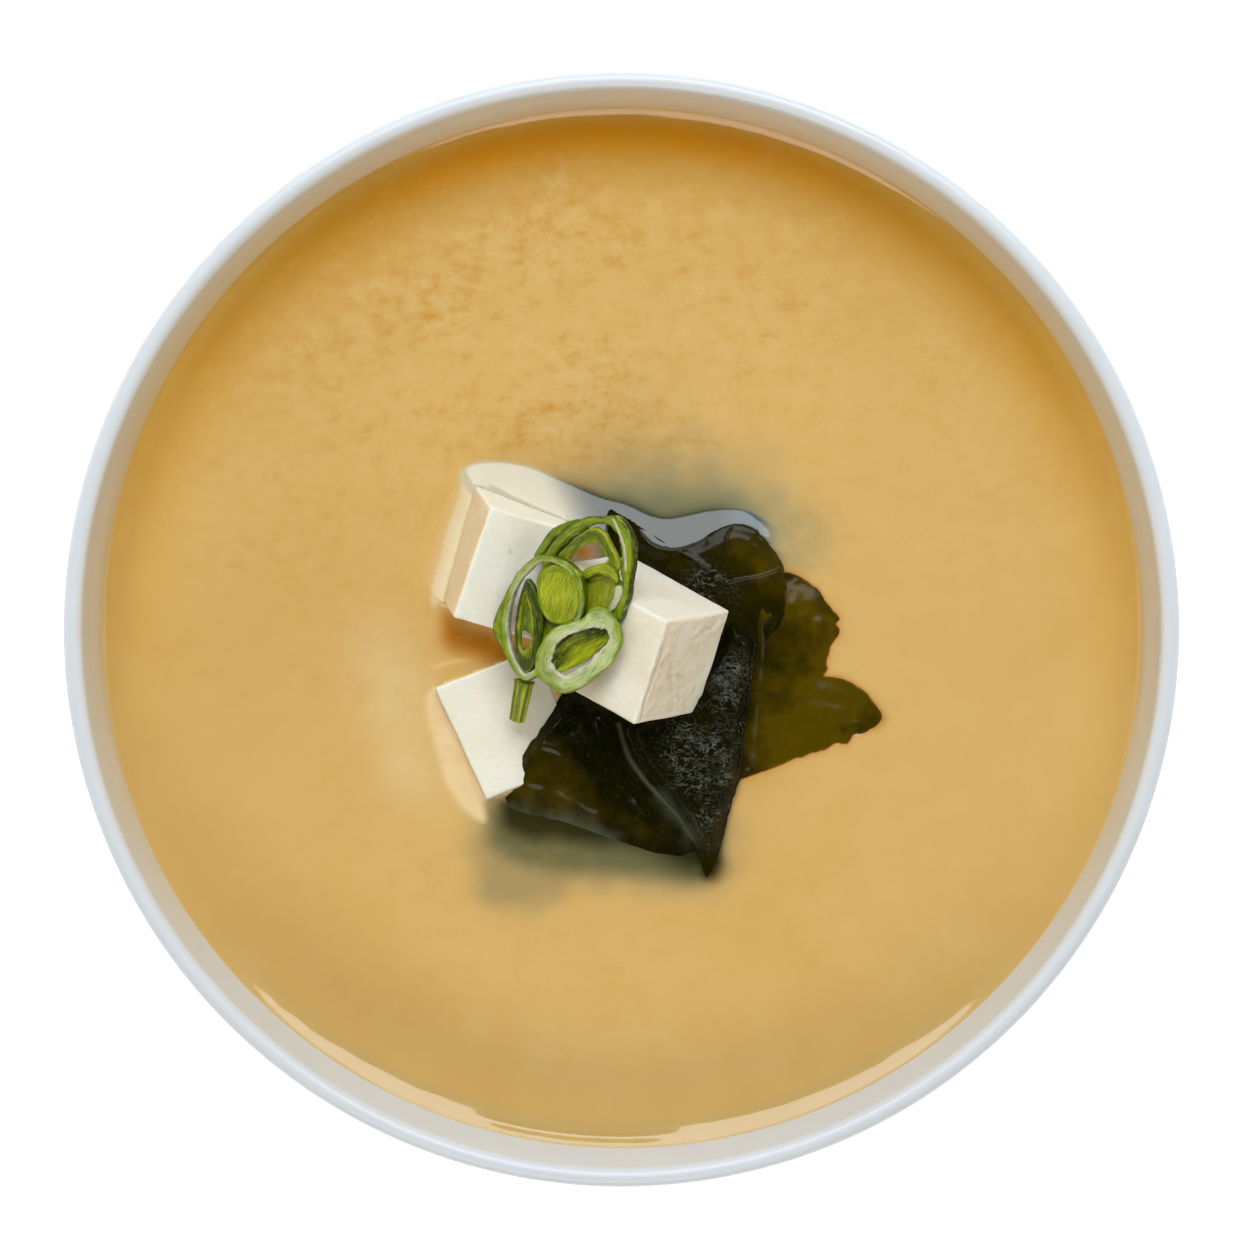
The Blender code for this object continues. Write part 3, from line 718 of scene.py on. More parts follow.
def buildLeaf(name, shape, material):
    # Rings that shrink from the outline to the centre, once over the top and once underneath
    line = leafOutline(shape)
    centre = np.array(shape["centre"])
    outTop = np.linspace(0.004, 1.0, leafGrid["topRings"]) ** 0.9
    outUnder = np.linspace(1.0, 0.02, leafGrid["underRings"])[1:]
    out = np.concatenate([outTop, outUnder])[:, None, None]
    grid = centre + (line - centre) * out
    x, y = grid[..., 0], grid[..., 1]
    inset = np.maximum(-outsideBy(x, y, line[::3]), 0.0)
    height = leafHeight(x, y, inset, shape)
    under = (np.arange(len(out)) >= leafGrid["topRings"])[:, None]
    rounded = np.clip(inset / 0.22, 0.0, 1.0)
    half = shape["thickness"] / 2 * np.sqrt(rounded * (2.0 - rounded))
    z = np.where(under, height - 2 * half, height)
    points, faces = capped(flat(x, y, z + soupLevel))
    px, py = points[:, 0], points[:, 1]
    place = flat(px, py, 0.0)
    tone = shape["baseTone"] + blobs(px, py, shape["tones"])
    tone = tone * (1.0 + 0.4 * fractal(place, 2.2, 3, shape["seed"] + 80))
    # Painted shade: the tone is darker along the creases
    for path, width, rise in shape["ridges"]:
        if rise < 0.0:
            away = lineDistance(px, py, openCurve(path, 24), False)
            tone = tone - 0.16 * np.exp(-(away / (width * 2.4)) ** 2)
    edgeThin = np.concatenate([[9.0], inset.ravel(), [9.0]])
    # Cloudy broth lies in the creases and along the waterline, painted paler as a meniscus highlight
    film = 0.0 * px
    for path, width, strength in brothSheenLines:
        away = lineDistance(px, py, openCurve(path, 40), False)
        wide = width * (1.0 + 0.45 * fractal(place, 1.6, 2, 91))
        film = np.maximum(film, strength * np.exp(-(away / np.maximum(wide, 0.05)) ** 2))
    values = {"tone": np.clip(tone, 0.0, 1.2), "inset": edgeThin, "film": np.clip(film, 0.0, 1.0),
              "crinkle": np.clip(blobs(px, py, shape["crinkles"]), 0.0, 1.0)}
    return buildPiece(name, [(points, faces, values)], material, [shape["node"]])


def buildLeaves():
    # Near black where the leaf is thick or folded, brown olive where it is thin
    frond = Finish("wet_wakame", {"Roughness": 0.2, "IOR": 1.38, "Specular IOR Level": 0.2})
    place = frond.place()
    tone = frond.value("tone")
    mottle = frond.noise(place, 0.0016, 5.0, 0.6)
    fleck = frond.ramp(frond.noise(place, 0.00035, 3.0, 0.6), 0.55, 0.75)
    level = tone * (0.55 + mottle * 0.9)
    dark = frond.mix(mottle, tuple(linear((14, 14, 1))), tuple(linear((24, 23, 1))))
    olive = frond.mix(mottle, tuple(linear((68, 55, 1))), tuple(linear((92, 73, 2))))
    body = frond.mix(frond.ramp(level, 0.05, 0.95), dark, olive)
    body = frond.mix(fleck * 0.35, body, tuple(linear((66, 66, 18))))
    thin = frond.ramp(frond.value("inset"), 0.0, 0.28, 0.5, 0.0) * frond.ramp(tone, 0.2, 0.8)
    body = frond.mix(thin, body, tuple(linear((130, 84, 20))))
    frond.set("Roughness", frond.ramp(mottle, 0.3, 0.7, 0.14, 0.24))
    veins = frond.noise(place, 0.0006, 4.0, 0.65)
    worm = frond.noise(frond.stretched(place, (0.8, 1.15, 1.0)), 0.0010, 1.5, 0.5, 1.3)
    net = (worm - 0.5) * 2.0
    net = net.maths("ABSOLUTE", net, 0.0)
    crinkle = frond.value("crinkle")
    creased = frond.ramp(net, 0.0, 0.35, 1.0, 0.0) * crinkle
    patchy = frond.noise(place, 0.0024, 2.0, 0.5)
    glint = frond.ramp(net, 0.015, 0.09, 1.0, 0.0) * crinkle * frond.ramp(patchy, 0.42, 0.60, 0.12, 1.0)
    body = frond.mix(glint * 0.7, body, tuple(linear((104, 108, 94))))
    # Cloudy broth with a painted meniscus highlight
    frond.set("Base Color", frond.mix(frond.value("film"), body, tuple(linear((98, 102, 82)))))
    frond.set("Normal", frond.bump(creased * 0.9 + veins * 0.35 + mottle * 0.25, 0.00006, 0.7))
    for name, shape in leaves.items():
        buildLeaf(name, shape, frond.material)


soup = {
    # Behind the garnish the broth climbs from this line, in one even slope; the second list closes the
    # outline
    "shore": ((-17.6, 16.2), (-17.4, 17.4), (-14.8, 18.3), (-10.5, 17.8), (-5.9, 16.0), (-1.9, 14.3),
    (0.9, 13.5),
              (4.4, 12.1), (7.0, 12.4), (9.6, 12.9), (13.0, 13.0), (15.3, 12.0), (17.4, 10.4), (18.8, 8.4)),
    "behindShore": ((17.0, 6.6), (8.0, 4.0), (-6.0, 6.0), (-14.6, 12.0)),
    "shoreSlope": 0.30, "shoreBend": 0.42,
    "segments": 480, "clearance": 0.3,
    # How high the soup climbs the bowl, and over what distance it falls off
    "wallRise": 1.55, "wallReach": 1.94,
    "tofuReach": 1.45, "leafReach": 1.45,
}


def innerRadius(height):
    # The inner wall's radius at a height over the table
    outer, inner, normal = wallPoints(np.linspace(0.0, 1.0, 400))
    return np.interp(height, inner[:, 1], inner[:, 0])


def soupDistances(x, y):
    # How far each point lies outside each block and each leaf, at the soup's surface
    near = np.hypot(x, y) < 36.0
    distances = {}
    for name, block in tofu["blocks"].items():
        distances[name] = blockSection(block, block["waterline"])
    for name, shape in leaves.items():
        distances[name] = leafOutline(shape)[::3]
    distances["shore"] = np.concatenate([openCurve(soup["shore"], 90), soup["behindShore"]])
    for name, outline in distances.items():
        outside = np.full(np.shape(x), 99.0)
        outside[near] = outsideBy(x[near], y[near], outline)
        if "waterline" in leaves.get(name, {}):
            pastLine = outsideBy(x[near], y[near], leaves[name]["waterline"])
            outside[near] = np.maximum(outside[near], pastLine)
        distances[name] = outside
    return distances


def soupHeight(x, y, radius, edgeRadius, distances):
    # Each thing that the soup wets pulls it up to a height that dies away as exp(-distance/reach); the
    # pulls are joined as the fourth root of the sum of their fourth powers, and under the garnish the
    # surface is sunk
    around = np.degrees(np.arctan2(y, x)) % 360.0
    uneven = 0.07 * latticeNoise(flat(x, y, 0.0), 9.0, 71) + 0.05 * latticeNoise(flat(x, y, 0.0), 3.0, 72)
    frontward = smooth(0.2, 0.8, -y / np.maximum(radius, 1.0))
    wallReach = soup["wallReach"] * (1.0 + uneven + 0.22 * frontward)
    wall = soup["wallRise"] * np.exp(-(edgeRadius - radius) / wallReach)
    # A dent in the slope in front parts its highlight in two
    notch = smooth(252.0, 257.0, around) * (1.0 - smooth(272.0, 278.0, around))
    wall = wall - 0.15 * notch * np.exp(-((edgeRadius - radius - 1.25) / 0.4) ** 2)
    pulls = [wall]
    sink = np.zeros_like(x)
    place = flat(x, y, 0.0)
    for name, block in tofu["blocks"].items():
        outside = distances[name]
        pulls.append(block["rise"] * np.exp(-np.maximum(outside, 0.0) / soup["tofuReach"]))
        sink = np.maximum(sink, smooth(0.35, 0.9, -outside) * 2.4)
    for name, shape in leaves.items():
        outside = distances[name]
        edge = shape["edge"] + 0.16 * latticeNoise(place, 2.6, shape["seed"] + 40)
        edge = edge - shape["thickness"] * 0.3
        edge = edge * (0.05 if "waterline" in shape else 1.0)
        if shape["node"] not in ("wakame_fold", "wakame_back"):
            pulls.append(np.maximum(edge, 0.02) * np.exp(-np.maximum(outside, 0.0) / soup["leafReach"]))
        start = 0.15
        if "waterline" in shape:
            # Where the leaf dips under its waterline it meets the soup further in
            start = 0.15 + 0.75 * smooth(-4.0, -2.0, -np.abs(outsideBy(x, y, shape["waterline"])))
        sink = np.maximum(sink, smooth(0.0, 1.0, -outside - start) * 1.8)
    rising = np.clip(-distances["shore"], -20.0, 4.0) / soup["shoreBend"]
    pulls.append(soup["shoreSlope"] * soup["shoreBend"] * np.log1p(np.exp(rising)))
    height = sum(np.maximum(pull, 0.0) ** 4 for pull in pulls) ** 0.25
    return height - sink


def soupColour(x, y, distances):
    # The broth's colour over the bowl, darker amber under the back wall as painted shadow, with what shows
    # through it from below
    radius = np.hypot(x, y)
    angle = np.degrees(np.arctan2(y, x))
    angle = np.where(angle < -90.0, angle + 360.0, angle)  # from -90 at the front, up the right side
    place = flat(x, y, 0.0)
    wander = fractal(place, 16.0, 3, 90)
    base = linear((219, 180, 109)) + np.zeros((*x.shape, 3))

    def blend(mask, colour):
        nonlocal base
        mask = np.clip(mask, 0.0, 1.0)[..., None]
        base = base * (1.0 - mask) + linear(colour) * mask

    blend(0.35 * smooth(-0.2, 0.9, wander), (212, 164, 86))
    blend(0.35 * blobs(x, y, ((-32.0, 10.0, 16.0, 0.5), (-44.0, -6.0, 14.0, 0.5))), (196, 150, 76))
    # Painted shadow of the back wall: a broad darker zone, then deep amber close under the wall
    back = smooth(-14.0, 42.0, angle) * (1.0 - smooth(138.0, 200.0, angle))
    broad = smooth(15.0, 60.0, angle) * (1.0 - smooth(125.0, 170.0, angle))
    blend(0.4 * smooth(30.0, 52.0, radius) * broad, (196, 146, 66))
    blend(0.80 * smooth(45.0, 56.5, radius + 0.8 * wander) * back, (208, 148, 8))
    blend(0.80 * smooth(49.5, 54.5, radius) * smooth(45.0, 80.0, angle) * (1 - smooth(102.0, 138.0, angle)),
          (230, 148, 0))
    blend(0.3 * smooth(50.0, 56.0, radius) * (1.0 - back), (194, 150, 70))
    # Painted reflection: a lighter band on the meniscus at the back wall, where it reflects the front light
    blend(0.6 * smooth(54.2, 56.2, radius) * back, (232, 184, 92))
    # Painted reflection: a greyer band under the front meniscus highlight
    blend(0.45 * smooth(53.2, 54.6, radius) * smooth(0.45, 0.9, -y / np.maximum(radius, 1.0)),
        (190, 168, 112))
    # A pale glow left of the front block, painted light scattered from it into the broth, and dark clouds
    # where the leaves go on under the surface
    blend(blobs(x, y, ((-24.6, -8.0, 4.2, 0.45), (-23.0, -15.6, 4.0, 0.40), (-26.0, -1.5, 4.0, 0.3))),
        (236, 214, 160))
    for outline, spread, strength, colour in soup["clouds"]:
        outside = outsideBy(x, y, openCurve(outline, 60))
        outside = outside + 0.7 * spread * 0.4 * latticeNoise(place, 2.4, 95)
        blend(strength * (1.0 - smooth(-spread, spread, outside)), colour)
    for block in tofu["blocks"].values():
        depth = blockDepth(x, y, block)
        blend(0.85 * np.exp(-depth / 1.9) * (depth < 50.0), (238, 222, 184))
    # Where the surface climbs to the garnish it is thin and clear: the tofu's white shows in it, and over
    # the leaf its black shows under a painted bluish reflection
    shore = distances["shore"]
    within = 1.0 - smooth(-0.14, 0.14, shore)
    overLeaf = smooth(-7.5, -1.5, x + 0.5 * (y - 13.0)) * smooth(18.4, 14.6, x)
    blend(0.85 * within * smooth(-1.0, -7.0, x + 0.5 * (y - 13.0)), (202, 194, 166))
    blend(0.98 * within * overLeaf, (84, 99, 103))
    blend(0.6 * within * smooth(14.6, 18.0, x), (190, 168, 116))
    blend(0.75 * np.exp(-np.maximum(shore, 0.0) / 0.55) * overLeaf * smooth(13.6, 10.0, x), (62, 58, 32))
    # Painted shade: dark amber in the shaded gap seen through the back onion ring
    blend(0.95 * blobs(x, y, ((-4.3, 8.4, 1.2, 1.0),)), (196, 124, 22))
    # A thin warm fringe where the broth meets the brown lobes
    lobe = distances["wakame_leaf_right"]
    blend(0.6 * np.exp(-np.maximum(lobe, 0.0) / 0.35), (196, 116, 28))
    return base


soup["clouds"] = (
    # outline, softness, strength, colour: the haze behind the garnish, then the haze in front of it, then
    # painted shade and a painted highlight between the left blocks, and what shows of parts under the
    # surface
    (((-6.0, 16.0), (0.0, 18.4), (7.0, 19.4), (14.0, 18.0), (19.0, 13.5), (20.6, 8.0), (14.0, 6.0),
    (4.0, 6.0),
      (-6.0, 10.0), (-6.0, 16.0)), 4.8, 0.8, (152, 146, 110)),
    (((-3.4, 15.0), (3.0, 15.0), (8.0, 14.6), (13.6, 14.2), (15.0, 9.0), (4.0, 7.0), (-1.6, 11.0),
    (-3.4, 15.0)),
     2.0, 0.75, (122, 124, 92)),
    (((-15.4, -18.0), (-16.4, -24.0), (-15.0, -30.0), (-9.0, -30.4), (-5.0, -28.8), (2.0, -28.6),
    (8.0, -29.0),
      (11.6, -27.6), (10.6, -20.0), (-4.0, -19.0), (-15.4, -18.0)), 2.4, 0.75, (146, 134, 94)),
    (((-14.6, -20.0), (-14.4, -24.0), (-9.0, -26.4), (2.0, -27.0), (9.6, -27.9), (11.0, -24.0),
    (6.0, -20.0),
      (-6.0, -18.0), (-14.6, -20.0)), 1.5, 0.9, (96, 97, 64)),
    (((-13.4, -19.0), (-12.6, -22.2), (-8.0, -23.4), (-2.0, -23.6), (3.0, -24.8), (9.0, -26.4),
    (10.0, -22.0),
      (4.0, -18.0), (-6.0, -16.0), (-13.4, -19.0)), 1.4, 0.95, (40, 40, 14)),
    # Painted shade: deep orange in the gap between the left and the front block
    (((-19.4, 1.4), (-14.6, -0.8), (-11.0, -2.6), (-10.0, -5.6), (-14.0, -3.6), (-19.0, -2.4),
    (-19.4, 1.4)), 1.3, 0.98,
     (188, 112, 0)),
    # Painted highlight: a pale dash on the meniscus in that gap
    (((-20.6, -4.5), (-18.6, -3.9), (-16.6, -3.4), (-18.4, -3.4), (-20.4, -4.0), (-20.6, -4.5)), 0.35, 0.6,
     (246, 214, 146)),
    (((-17.4, 16.0), (-20.8, 3.8), (-19.4, 3.6), (-16.6, 15.4), (-17.4, 16.0)), 0.3, 0.8, (228, 202, 160)),
    (((8.4, -27.0), (9.4, -25.0), (11.0, -25.2), (10.4, -27.6), (8.4, -27.0)), 0.8, 0.9, (30, 32, 14)),
    (((27.0, -8.4), (28.8, -9.8), (27.2, -10.8), (26.0, -9.6), (27.0, -8.4)), 0.9, 0.7, (120, 104, 62)),
    # A pale strip beside the front block: partly its side under the surface, partly painted light scattered
    # from it
    (((-20.6, -6.4), (-21.5, -8.6), (-19.4, -16.2), (-16.6, -20.4), (-15.0, -19.8), (-20.6, -6.4)),
     0.55, 0.85, (244, 216, 164)),
)


def buildSoup():
    # Rings from the middle out to the wall, crowded near it, then back underneath along the inside of the
    # bowl
    edgeHeight = soup["wallRise"]
    edgeRadius = float(innerRadius(soupLevel + edgeHeight)) + 0.12
    radii = np.concatenate([np.arange(0.28, 32.0, 0.28), np.arange(32.0, 52.0, 0.5),
                            np.linspace(52.0, edgeRadius, 30)])
    turn = np.linspace(0.0, 2 * math.pi, soup["segments"], endpoint=False)
    radius = radii[:, None] + 0.0 * turn
    x, y = radius * np.cos(turn), radius * np.sin(turn)
    top = flat(x, y, soupLevel + soupHeight(x, y, radius, edgeRadius, soupDistances(x, y)))
    heights = np.linspace(soupLevel - 0.8, 9.6, 12)[:, None] + 0.0 * turn
    below = innerRadius(heights) - soup["clearance"]
    side = flat(below * np.cos(turn), below * np.sin(turn), heights)
    inner = side[-1:] * np.array((0.5, 0.5, 1.0))
    points, faces = capped(np.concatenate([top, side, inner]))
    px, py = points[:, 0], points[:, 1]
    distances = soupDistances(px, py)
    colour = soupColour(px, py, distances)
    # Fewer specks towards the front, and none where the surface climbs to the garnish
    grain = 0.26 + 0.74 * smooth(-10.0, 30.0, py + 8.0 * fractal(flat(px, py, 0.0), 9.0, 2, 99))
    calm = smooth(-0.1, 1.6, distances["shore"]) * smooth(0.0, 6.0, distances["wakame_leaf_front"])
    haze = outsideBy(px, py, openCurve(soup["clouds"][1][0], 60))
    calm = calm * smooth(-1.0, 4.0, haze)
    grain = grain * calm * (1.0 - 0.6 * smooth(45.0, 52.0, np.hypot(px, py)))
    grain = grain * (1.0 - 0.5 * smooth(12.0, 40.0, np.abs(px + 10.0)))
    grain = grain * (0.8 + 0.5 * fractal(flat(px, py, 0.0), 7.0, 2, 98))
    broth = Finish("miso_broth", {"Roughness": 0.07, "IOR": 1.45})
    place = broth.place()
    cloud = broth.noise(place, 0.006, 4.0, 0.55)
    flakes = broth.noise(broth.stretched(place, (0.85, 1.1, 1.0)), 0.0021, 6.0, 0.64)
    curds = broth.noise(place, 0.0007, 3.0, 0.6)
    specks = broth.noise(place, 0.0005, 2.0, 0.5)
    amount = broth.value("grain")
    cloudy = broth.ramp(cloud, 0.35, 0.7, 0.0, 0.2) * broth.value("calm")
    body = broth.mix(cloudy, broth.colour("brothColour"), tuple(linear((204, 154, 74))))
    body = broth.mix(broth.ramp(flakes, 0.50, 0.68) * amount * 0.55, body, tuple(linear((200, 142, 46))))
    body = broth.mix(broth.ramp(flakes, 0.48, 0.32) * amount * 0.36, body, tuple(linear((228, 198, 138))))
    body = broth.mix(broth.ramp(curds, 0.56, 0.76) * amount * 0.35, body, tuple(linear((204, 148, 58))))
    body = broth.mix(broth.ramp(specks, 0.69, 0.79) * amount * 0.45, body, tuple(linear((234, 214, 160))))
    broth.set("Base Color", body)
    broth.set("Normal", broth.bump(curds, 0.00001, 0.3))
    broth.set("Roughness", broth.ramp(broth.value("rim"), 0.0, 1.0, 0.07, 0.42))
    rim = smooth(edgeRadius - 0.55, edgeRadius - 0.1, np.hypot(px, py))
    values = {"brothColour": colour, "grain": grain, "calm": calm, "rim": rim}
    return buildPiece("miso_broth", [(points, faces, values)], broth.material, ["soup"])


onion = {
    "bandSamples": 200, "bandSides": 28,
    # How far each slice is moved, so that its outline seen from above lies where its walls' lists put it
    "shifts": {"back": (-0.45, 0.05), "left": (-0.5, -0.1), "front": (-0.3, -0.2)},
    # The plane of each slice's upper face: a point on it and the direction it looks in
    "planes": {
        "back": ((-3.2, 6.9, 10.05), (-0.53, -0.11, 0.84)),
        "left": ((-8.7, 1.3, 8.6), (-0.41, -0.10, 0.90)),
        "front": ((-4.2, -2.1, 11.2), (-0.10, -0.13, 0.98)),
    },
    "colours": {
        "skin": (46, 60, 0), "deep": (84, 104, 0), "green": (134, 154, 2), "bright": (166, 176, 16),
        "yellow": (188, 188, 44), "pale": (184, 202, 116), "milky": (200, 214, 146),
        "white": (226, 222, 190)},
}
# Closed walls between an outer and an inner line: (outer, inner) pairs clockwise from the left, in the
# slice's plane
walls = {
    "backRing": {
        "plane": "back", "height": 1.25, "tones": ("skin", "green", "deep"), "patches": ("bright", 0.6),
        "pairs": (
            ((-7.95, 8.16), (-6.75, 7.70)), ((-6.93, 9.55), (-5.73, 8.81)), ((-5.83, 10.65), (-4.72, 9.82)),
            ((-4.53, 11.58), (-3.61, 10.56)), ((-3.06, 12.1), (-2.50, 11.21)),
            ((-1.40, 12.1), (-1.49, 11.21)), ((-0.20, 12.1), (-0.75, 11.02)),
            ((0.82, 11.39), (-0.07, 10.19)), ((1.52, 10.19), (0.30, 8.99)), ((1.85, 8.63), (0.41, 7.70)),
            ((1.70, 6.78), (0.41, 6.23)), ((1.46, 5.30), (0.54, 4.94)), ((1.30, 3.64), (0.36, 3.83)),
            ((0.85, 2.17), (-0.29, 2.35)), ((0.26, 0.97), (-1.03, 1.61)), ((-1.40, 0.14), (-1.95, 1.25)),
            ((-3.24, 0.41), (-3.06, 1.61)), ((-5.09, 1.43), (-4.53, 2.72)), ((-6.75, 3.09), (-5.83, 4.20)),
            ((-7.85, 5.12), (-6.75, 5.86)), ((-8.22, 6.78), (-7.12, 6.78)))},
    "backInner": {
        "plane": "back", "height": 1.05, "drop": 0.12, "tones": ("bright", "deep", "bright"),
        "patches": ("green", 0.7),
        "pairs": (
            ((-6.53, 7.79), (-5.27, 7.52)), ((-5.64, 8.85), (-4.72, 8.29)), ((-4.53, 9.77), (-3.89, 8.90)),
            ((-3.43, 10.65), (-2.97, 9.25)), ((-2.32, 11.0), (-2.32, 9.09)), ((-1.40, 10.3), (-1.91, 8.63)),
            ((-0.75, 9.0), (-1.43, 7.98)), ((-0.16, 8.0), (-1.18, 7.61)), ((0.20, 6.78), (-1.40, 7.24)),
            ((-0.47, 5.86), (-2.32, 6.78)), ((-1.77, 5.49), (-3.15, 6.32)), ((-3.24, 5.12), (-3.98, 6.10)),
            ((-4.90, 5.86), (-4.63, 6.56)), ((-6.10, 6.78), (-5.09, 7.15)))},
    "leftRing": {
        "plane": "left", "height": 1.25, "tones": ("deep", "green", "white"), "patches": ("pale", 0.75),
        "pairs": (
            ((-8.04, 8.11), (-7.89, 7.48)), ((-6.84, 7.98), (-6.97, 7.30)), ((-5.55, 7.55), (-5.83, 6.85)),
            ((-4.44, 6.69), (-4.90, 6.04)), ((-3.74, 5.49), (-4.26, 5.08)), ((-3.43, 4.01), (-4.02, 3.83)),
            ((-3.50, 2.35), (-4.07, 2.35)), ((-3.98, 1.06), (-4.57, 1.25)),
            ((-5.09, -0.78), (-5.64, -0.42)), ((-6.47, -2.54), (-6.93, -2.08)),
            ((-7.76, -4.01), (-8.22, -3.46)), ((-8.87, -5.12), (-9.18, -4.38)),
            ((-9.88, -5.51), (-9.98, -4.70)), ((-10.81, -4.94), (-10.47, -4.11)),
            ((-11.64, -3.74), (-11.08, -3.18)), ((-12.28, -2.45), (-11.54, -1.71)),
            ((-12.56, -0.97), (-11.73, -0.23)), ((-12.56, 0.51), (-11.78, 1.06)),
            ((-12.32, 2.17), (-11.54, 2.54)), ((-11.91, 3.83), (-11.08, 4.01)),
            ((-11.08, 5.77), (-10.44, 5.30)), ((-10.07, 6.96), (-9.52, 6.32)),
            ((-9.05, 7.79), (-8.68, 7.06)))},
    "leftInner": {
        "plane": "left", "height": 1.1, "drop": 0.15, "tones": ("deep", "skin", "bright"), "pairs": (
            ((-9.79, 5.58), (-9.98, 3.83)), ((-8.68, 4.01), (-9.52, 2.35)), ((-8.13, 1.98), (-9.29, 0.88)),
            ((-8.19, -0.23), (-9.29, -0.60)), ((-8.59, -2.26), (-9.52, -1.71)),
            ((-9.05, -3.74), (-9.79, -2.08)), ((-9.52, -4.6), (-10.07, -2.26)),
            ((-10.25, -4.1), (-10.29, -2.08)), ((-10.86, -3.00), (-10.51, -1.71)),
            ((-11.1, -1.52), (-10.62, -0.97)), ((-11.15, 0.14), (-10.53, 0.14)),
            ((-10.95, 1.80), (-10.44, 1.25)), ((-10.55, 3.64), (-10.29, 2.35)))},
    "heartRing": {
        "plane": "left", "height": 1.1, "drop": 0.05, "tones": ("skin", "green", "bright"), "pairs": (
            ((-8.59, 5.49), (-8.08, 4.94)), ((-8.04, 6.78), (-7.63, 5.82)), ((-6.93, 7.26), (-6.75, 6.23)),
            ((-5.83, 7.00), (-5.64, 6.10)), ((-4.76, 6.26), (-4.76, 5.49)), ((-4.13, 5.30), (-4.35, 4.53)),
            ((-3.94, 3.83), (-4.24, 3.46)), ((-4.02, 2.35), (-4.35, 2.35)), ((-4.44, 1.21), (-4.76, 1.43)),
            ((-5.83, 0.65), (-5.83, 1.02)), ((-7.12, 0.84), (-6.84, 1.21)), ((-7.89, 1.61), (-7.52, 1.84)),
            ((-8.37, 2.72), (-7.89, 2.76)), ((-8.63, 4.10), (-8.19, 3.83)))},
    "frontRing": {
        "plane": "front", "height": 1.3, "tones": ("green", "milky", "white"), "patches": ("green", 0.6),
        "pairs": (
            ((-8.92, -3.37), (-7.12, -3.22)), ((-8.59, -1.98), (-6.90, -2.26)),
            ((-7.67, -0.42), (-6.29, -1.15)), ((-6.66, 0.47), (-5.46, -0.51)),
            ((-5.09, 1.06), (-4.16, -0.01)), ((-3.89, 1.43), (-3.06, 0.29)), ((-3.06, 2.32), (-2.23, 0.36)),
            ((-2.04, 2.81), (-1.67, 0.29)), ((-0.94, 2.35), (-1.25, 0.05)), ((-0.14, 1.25), (-0.99, -0.42)),
            ((0.41, 0.14), (-1.03, -0.88)), ((0.48, -1.15), (-1.40, -1.43)),
            ((-0.07, -2.54), (-2.14, -2.08)), ((-0.94, -3.74), (-2.78, -2.81)),
            ((-2.04, -4.66), (-3.61, -3.64)), ((-3.43, -5.77), (-4.72, -4.29)),
            ((-4.90, -6.47), (-5.68, -4.70)), ((-6.01, -6.60), (-6.19, -4.57)),
            ((-7.12, -5.99), (-6.66, -4.01)), ((-8.22, -5.25), (-6.93, -3.64)),
            ((-8.87, -4.47), (-7.08, -3.40)))},
}
# Open strands of the same make, from one end to the other
strands = {
    "backOuter": {
        "plane": "back", "height": 1.2, "drop": 0.55, "tones": ("deep", "green", "skin"), "pairs": (
            ((-9.70, 7.52), (-8.59, 7.70)), ((-8.96, 8.72), (-7.76, 8.63)), ((-8.13, 10.01), (-6.93, 9.55)),
            ((-7.12, 10.88), (-5.83, 10.56)), ((-6.01, 11.39), (-4.72, 11.30)),
            ((-4.90, 11.80), (-3.98, 11.76)))},
    "backArch": {
        "plane": "back", "height": 1.1, "drop": -0.35, "tones": ("green", "bright", "deep"), "pairs": (
            ((-4.16, 5.95), (-3.70, 4.94)), ((-3.15, 6.56), (-2.87, 5.53)), ((-1.77, 7.06), (-1.77, 5.82)),
            ((-0.47, 6.74), (-0.66, 5.40)), ((0.41, 5.95), (0.30, 4.57)))},
    "backPale": {
        "plane": "back", "height": 0.9, "drop": -0.1, "tones": ("pale", "white", "pale"), "pairs": (
            ((0.78, 4.84), (-0.29, 4.66)), ((0.63, 3.83), (-0.38, 3.64)), ((0.17, 2.72), (-0.75, 2.63)),
            ((-0.29, 1.98), (-1.03, 2.17)))},
    "backThread": {
        "plane": "back", "height": 0.5, "drop": -0.1, "tones": ("pale", "white", "pale"), "pairs": (
            ((-0.25, 12.0), (-0.55, 11.9)), ((0.30, 10.8), (0.02, 10.7)), ((0.85, 9.4), (0.55, 9.3)),
            ((1.15, 7.8), (0.82, 7.8)), ((1.20, 6.2), (0.88, 6.2)))},
    "leftOuter": {
        "plane": "left", "height": 1.2, "drop": 0.4, "tones": ("skin", "green", "deep"), "pairs": (
            ((-10.90, 6.32), (-10.62, 6.23)), ((-12.01, 4.38), (-11.54, 4.20)),
            ((-12.93, 2.54), (-12.10, 2.35)), ((-13.54, 1.25), (-12.32, 1.06)),
            ((-13.68, 0.05), (-12.37, 0.05)), ((-13.30, -1.15), (-12.28, -1.06)),
            ((-12.28, -2.54), (-12.01, -2.26)))},
}
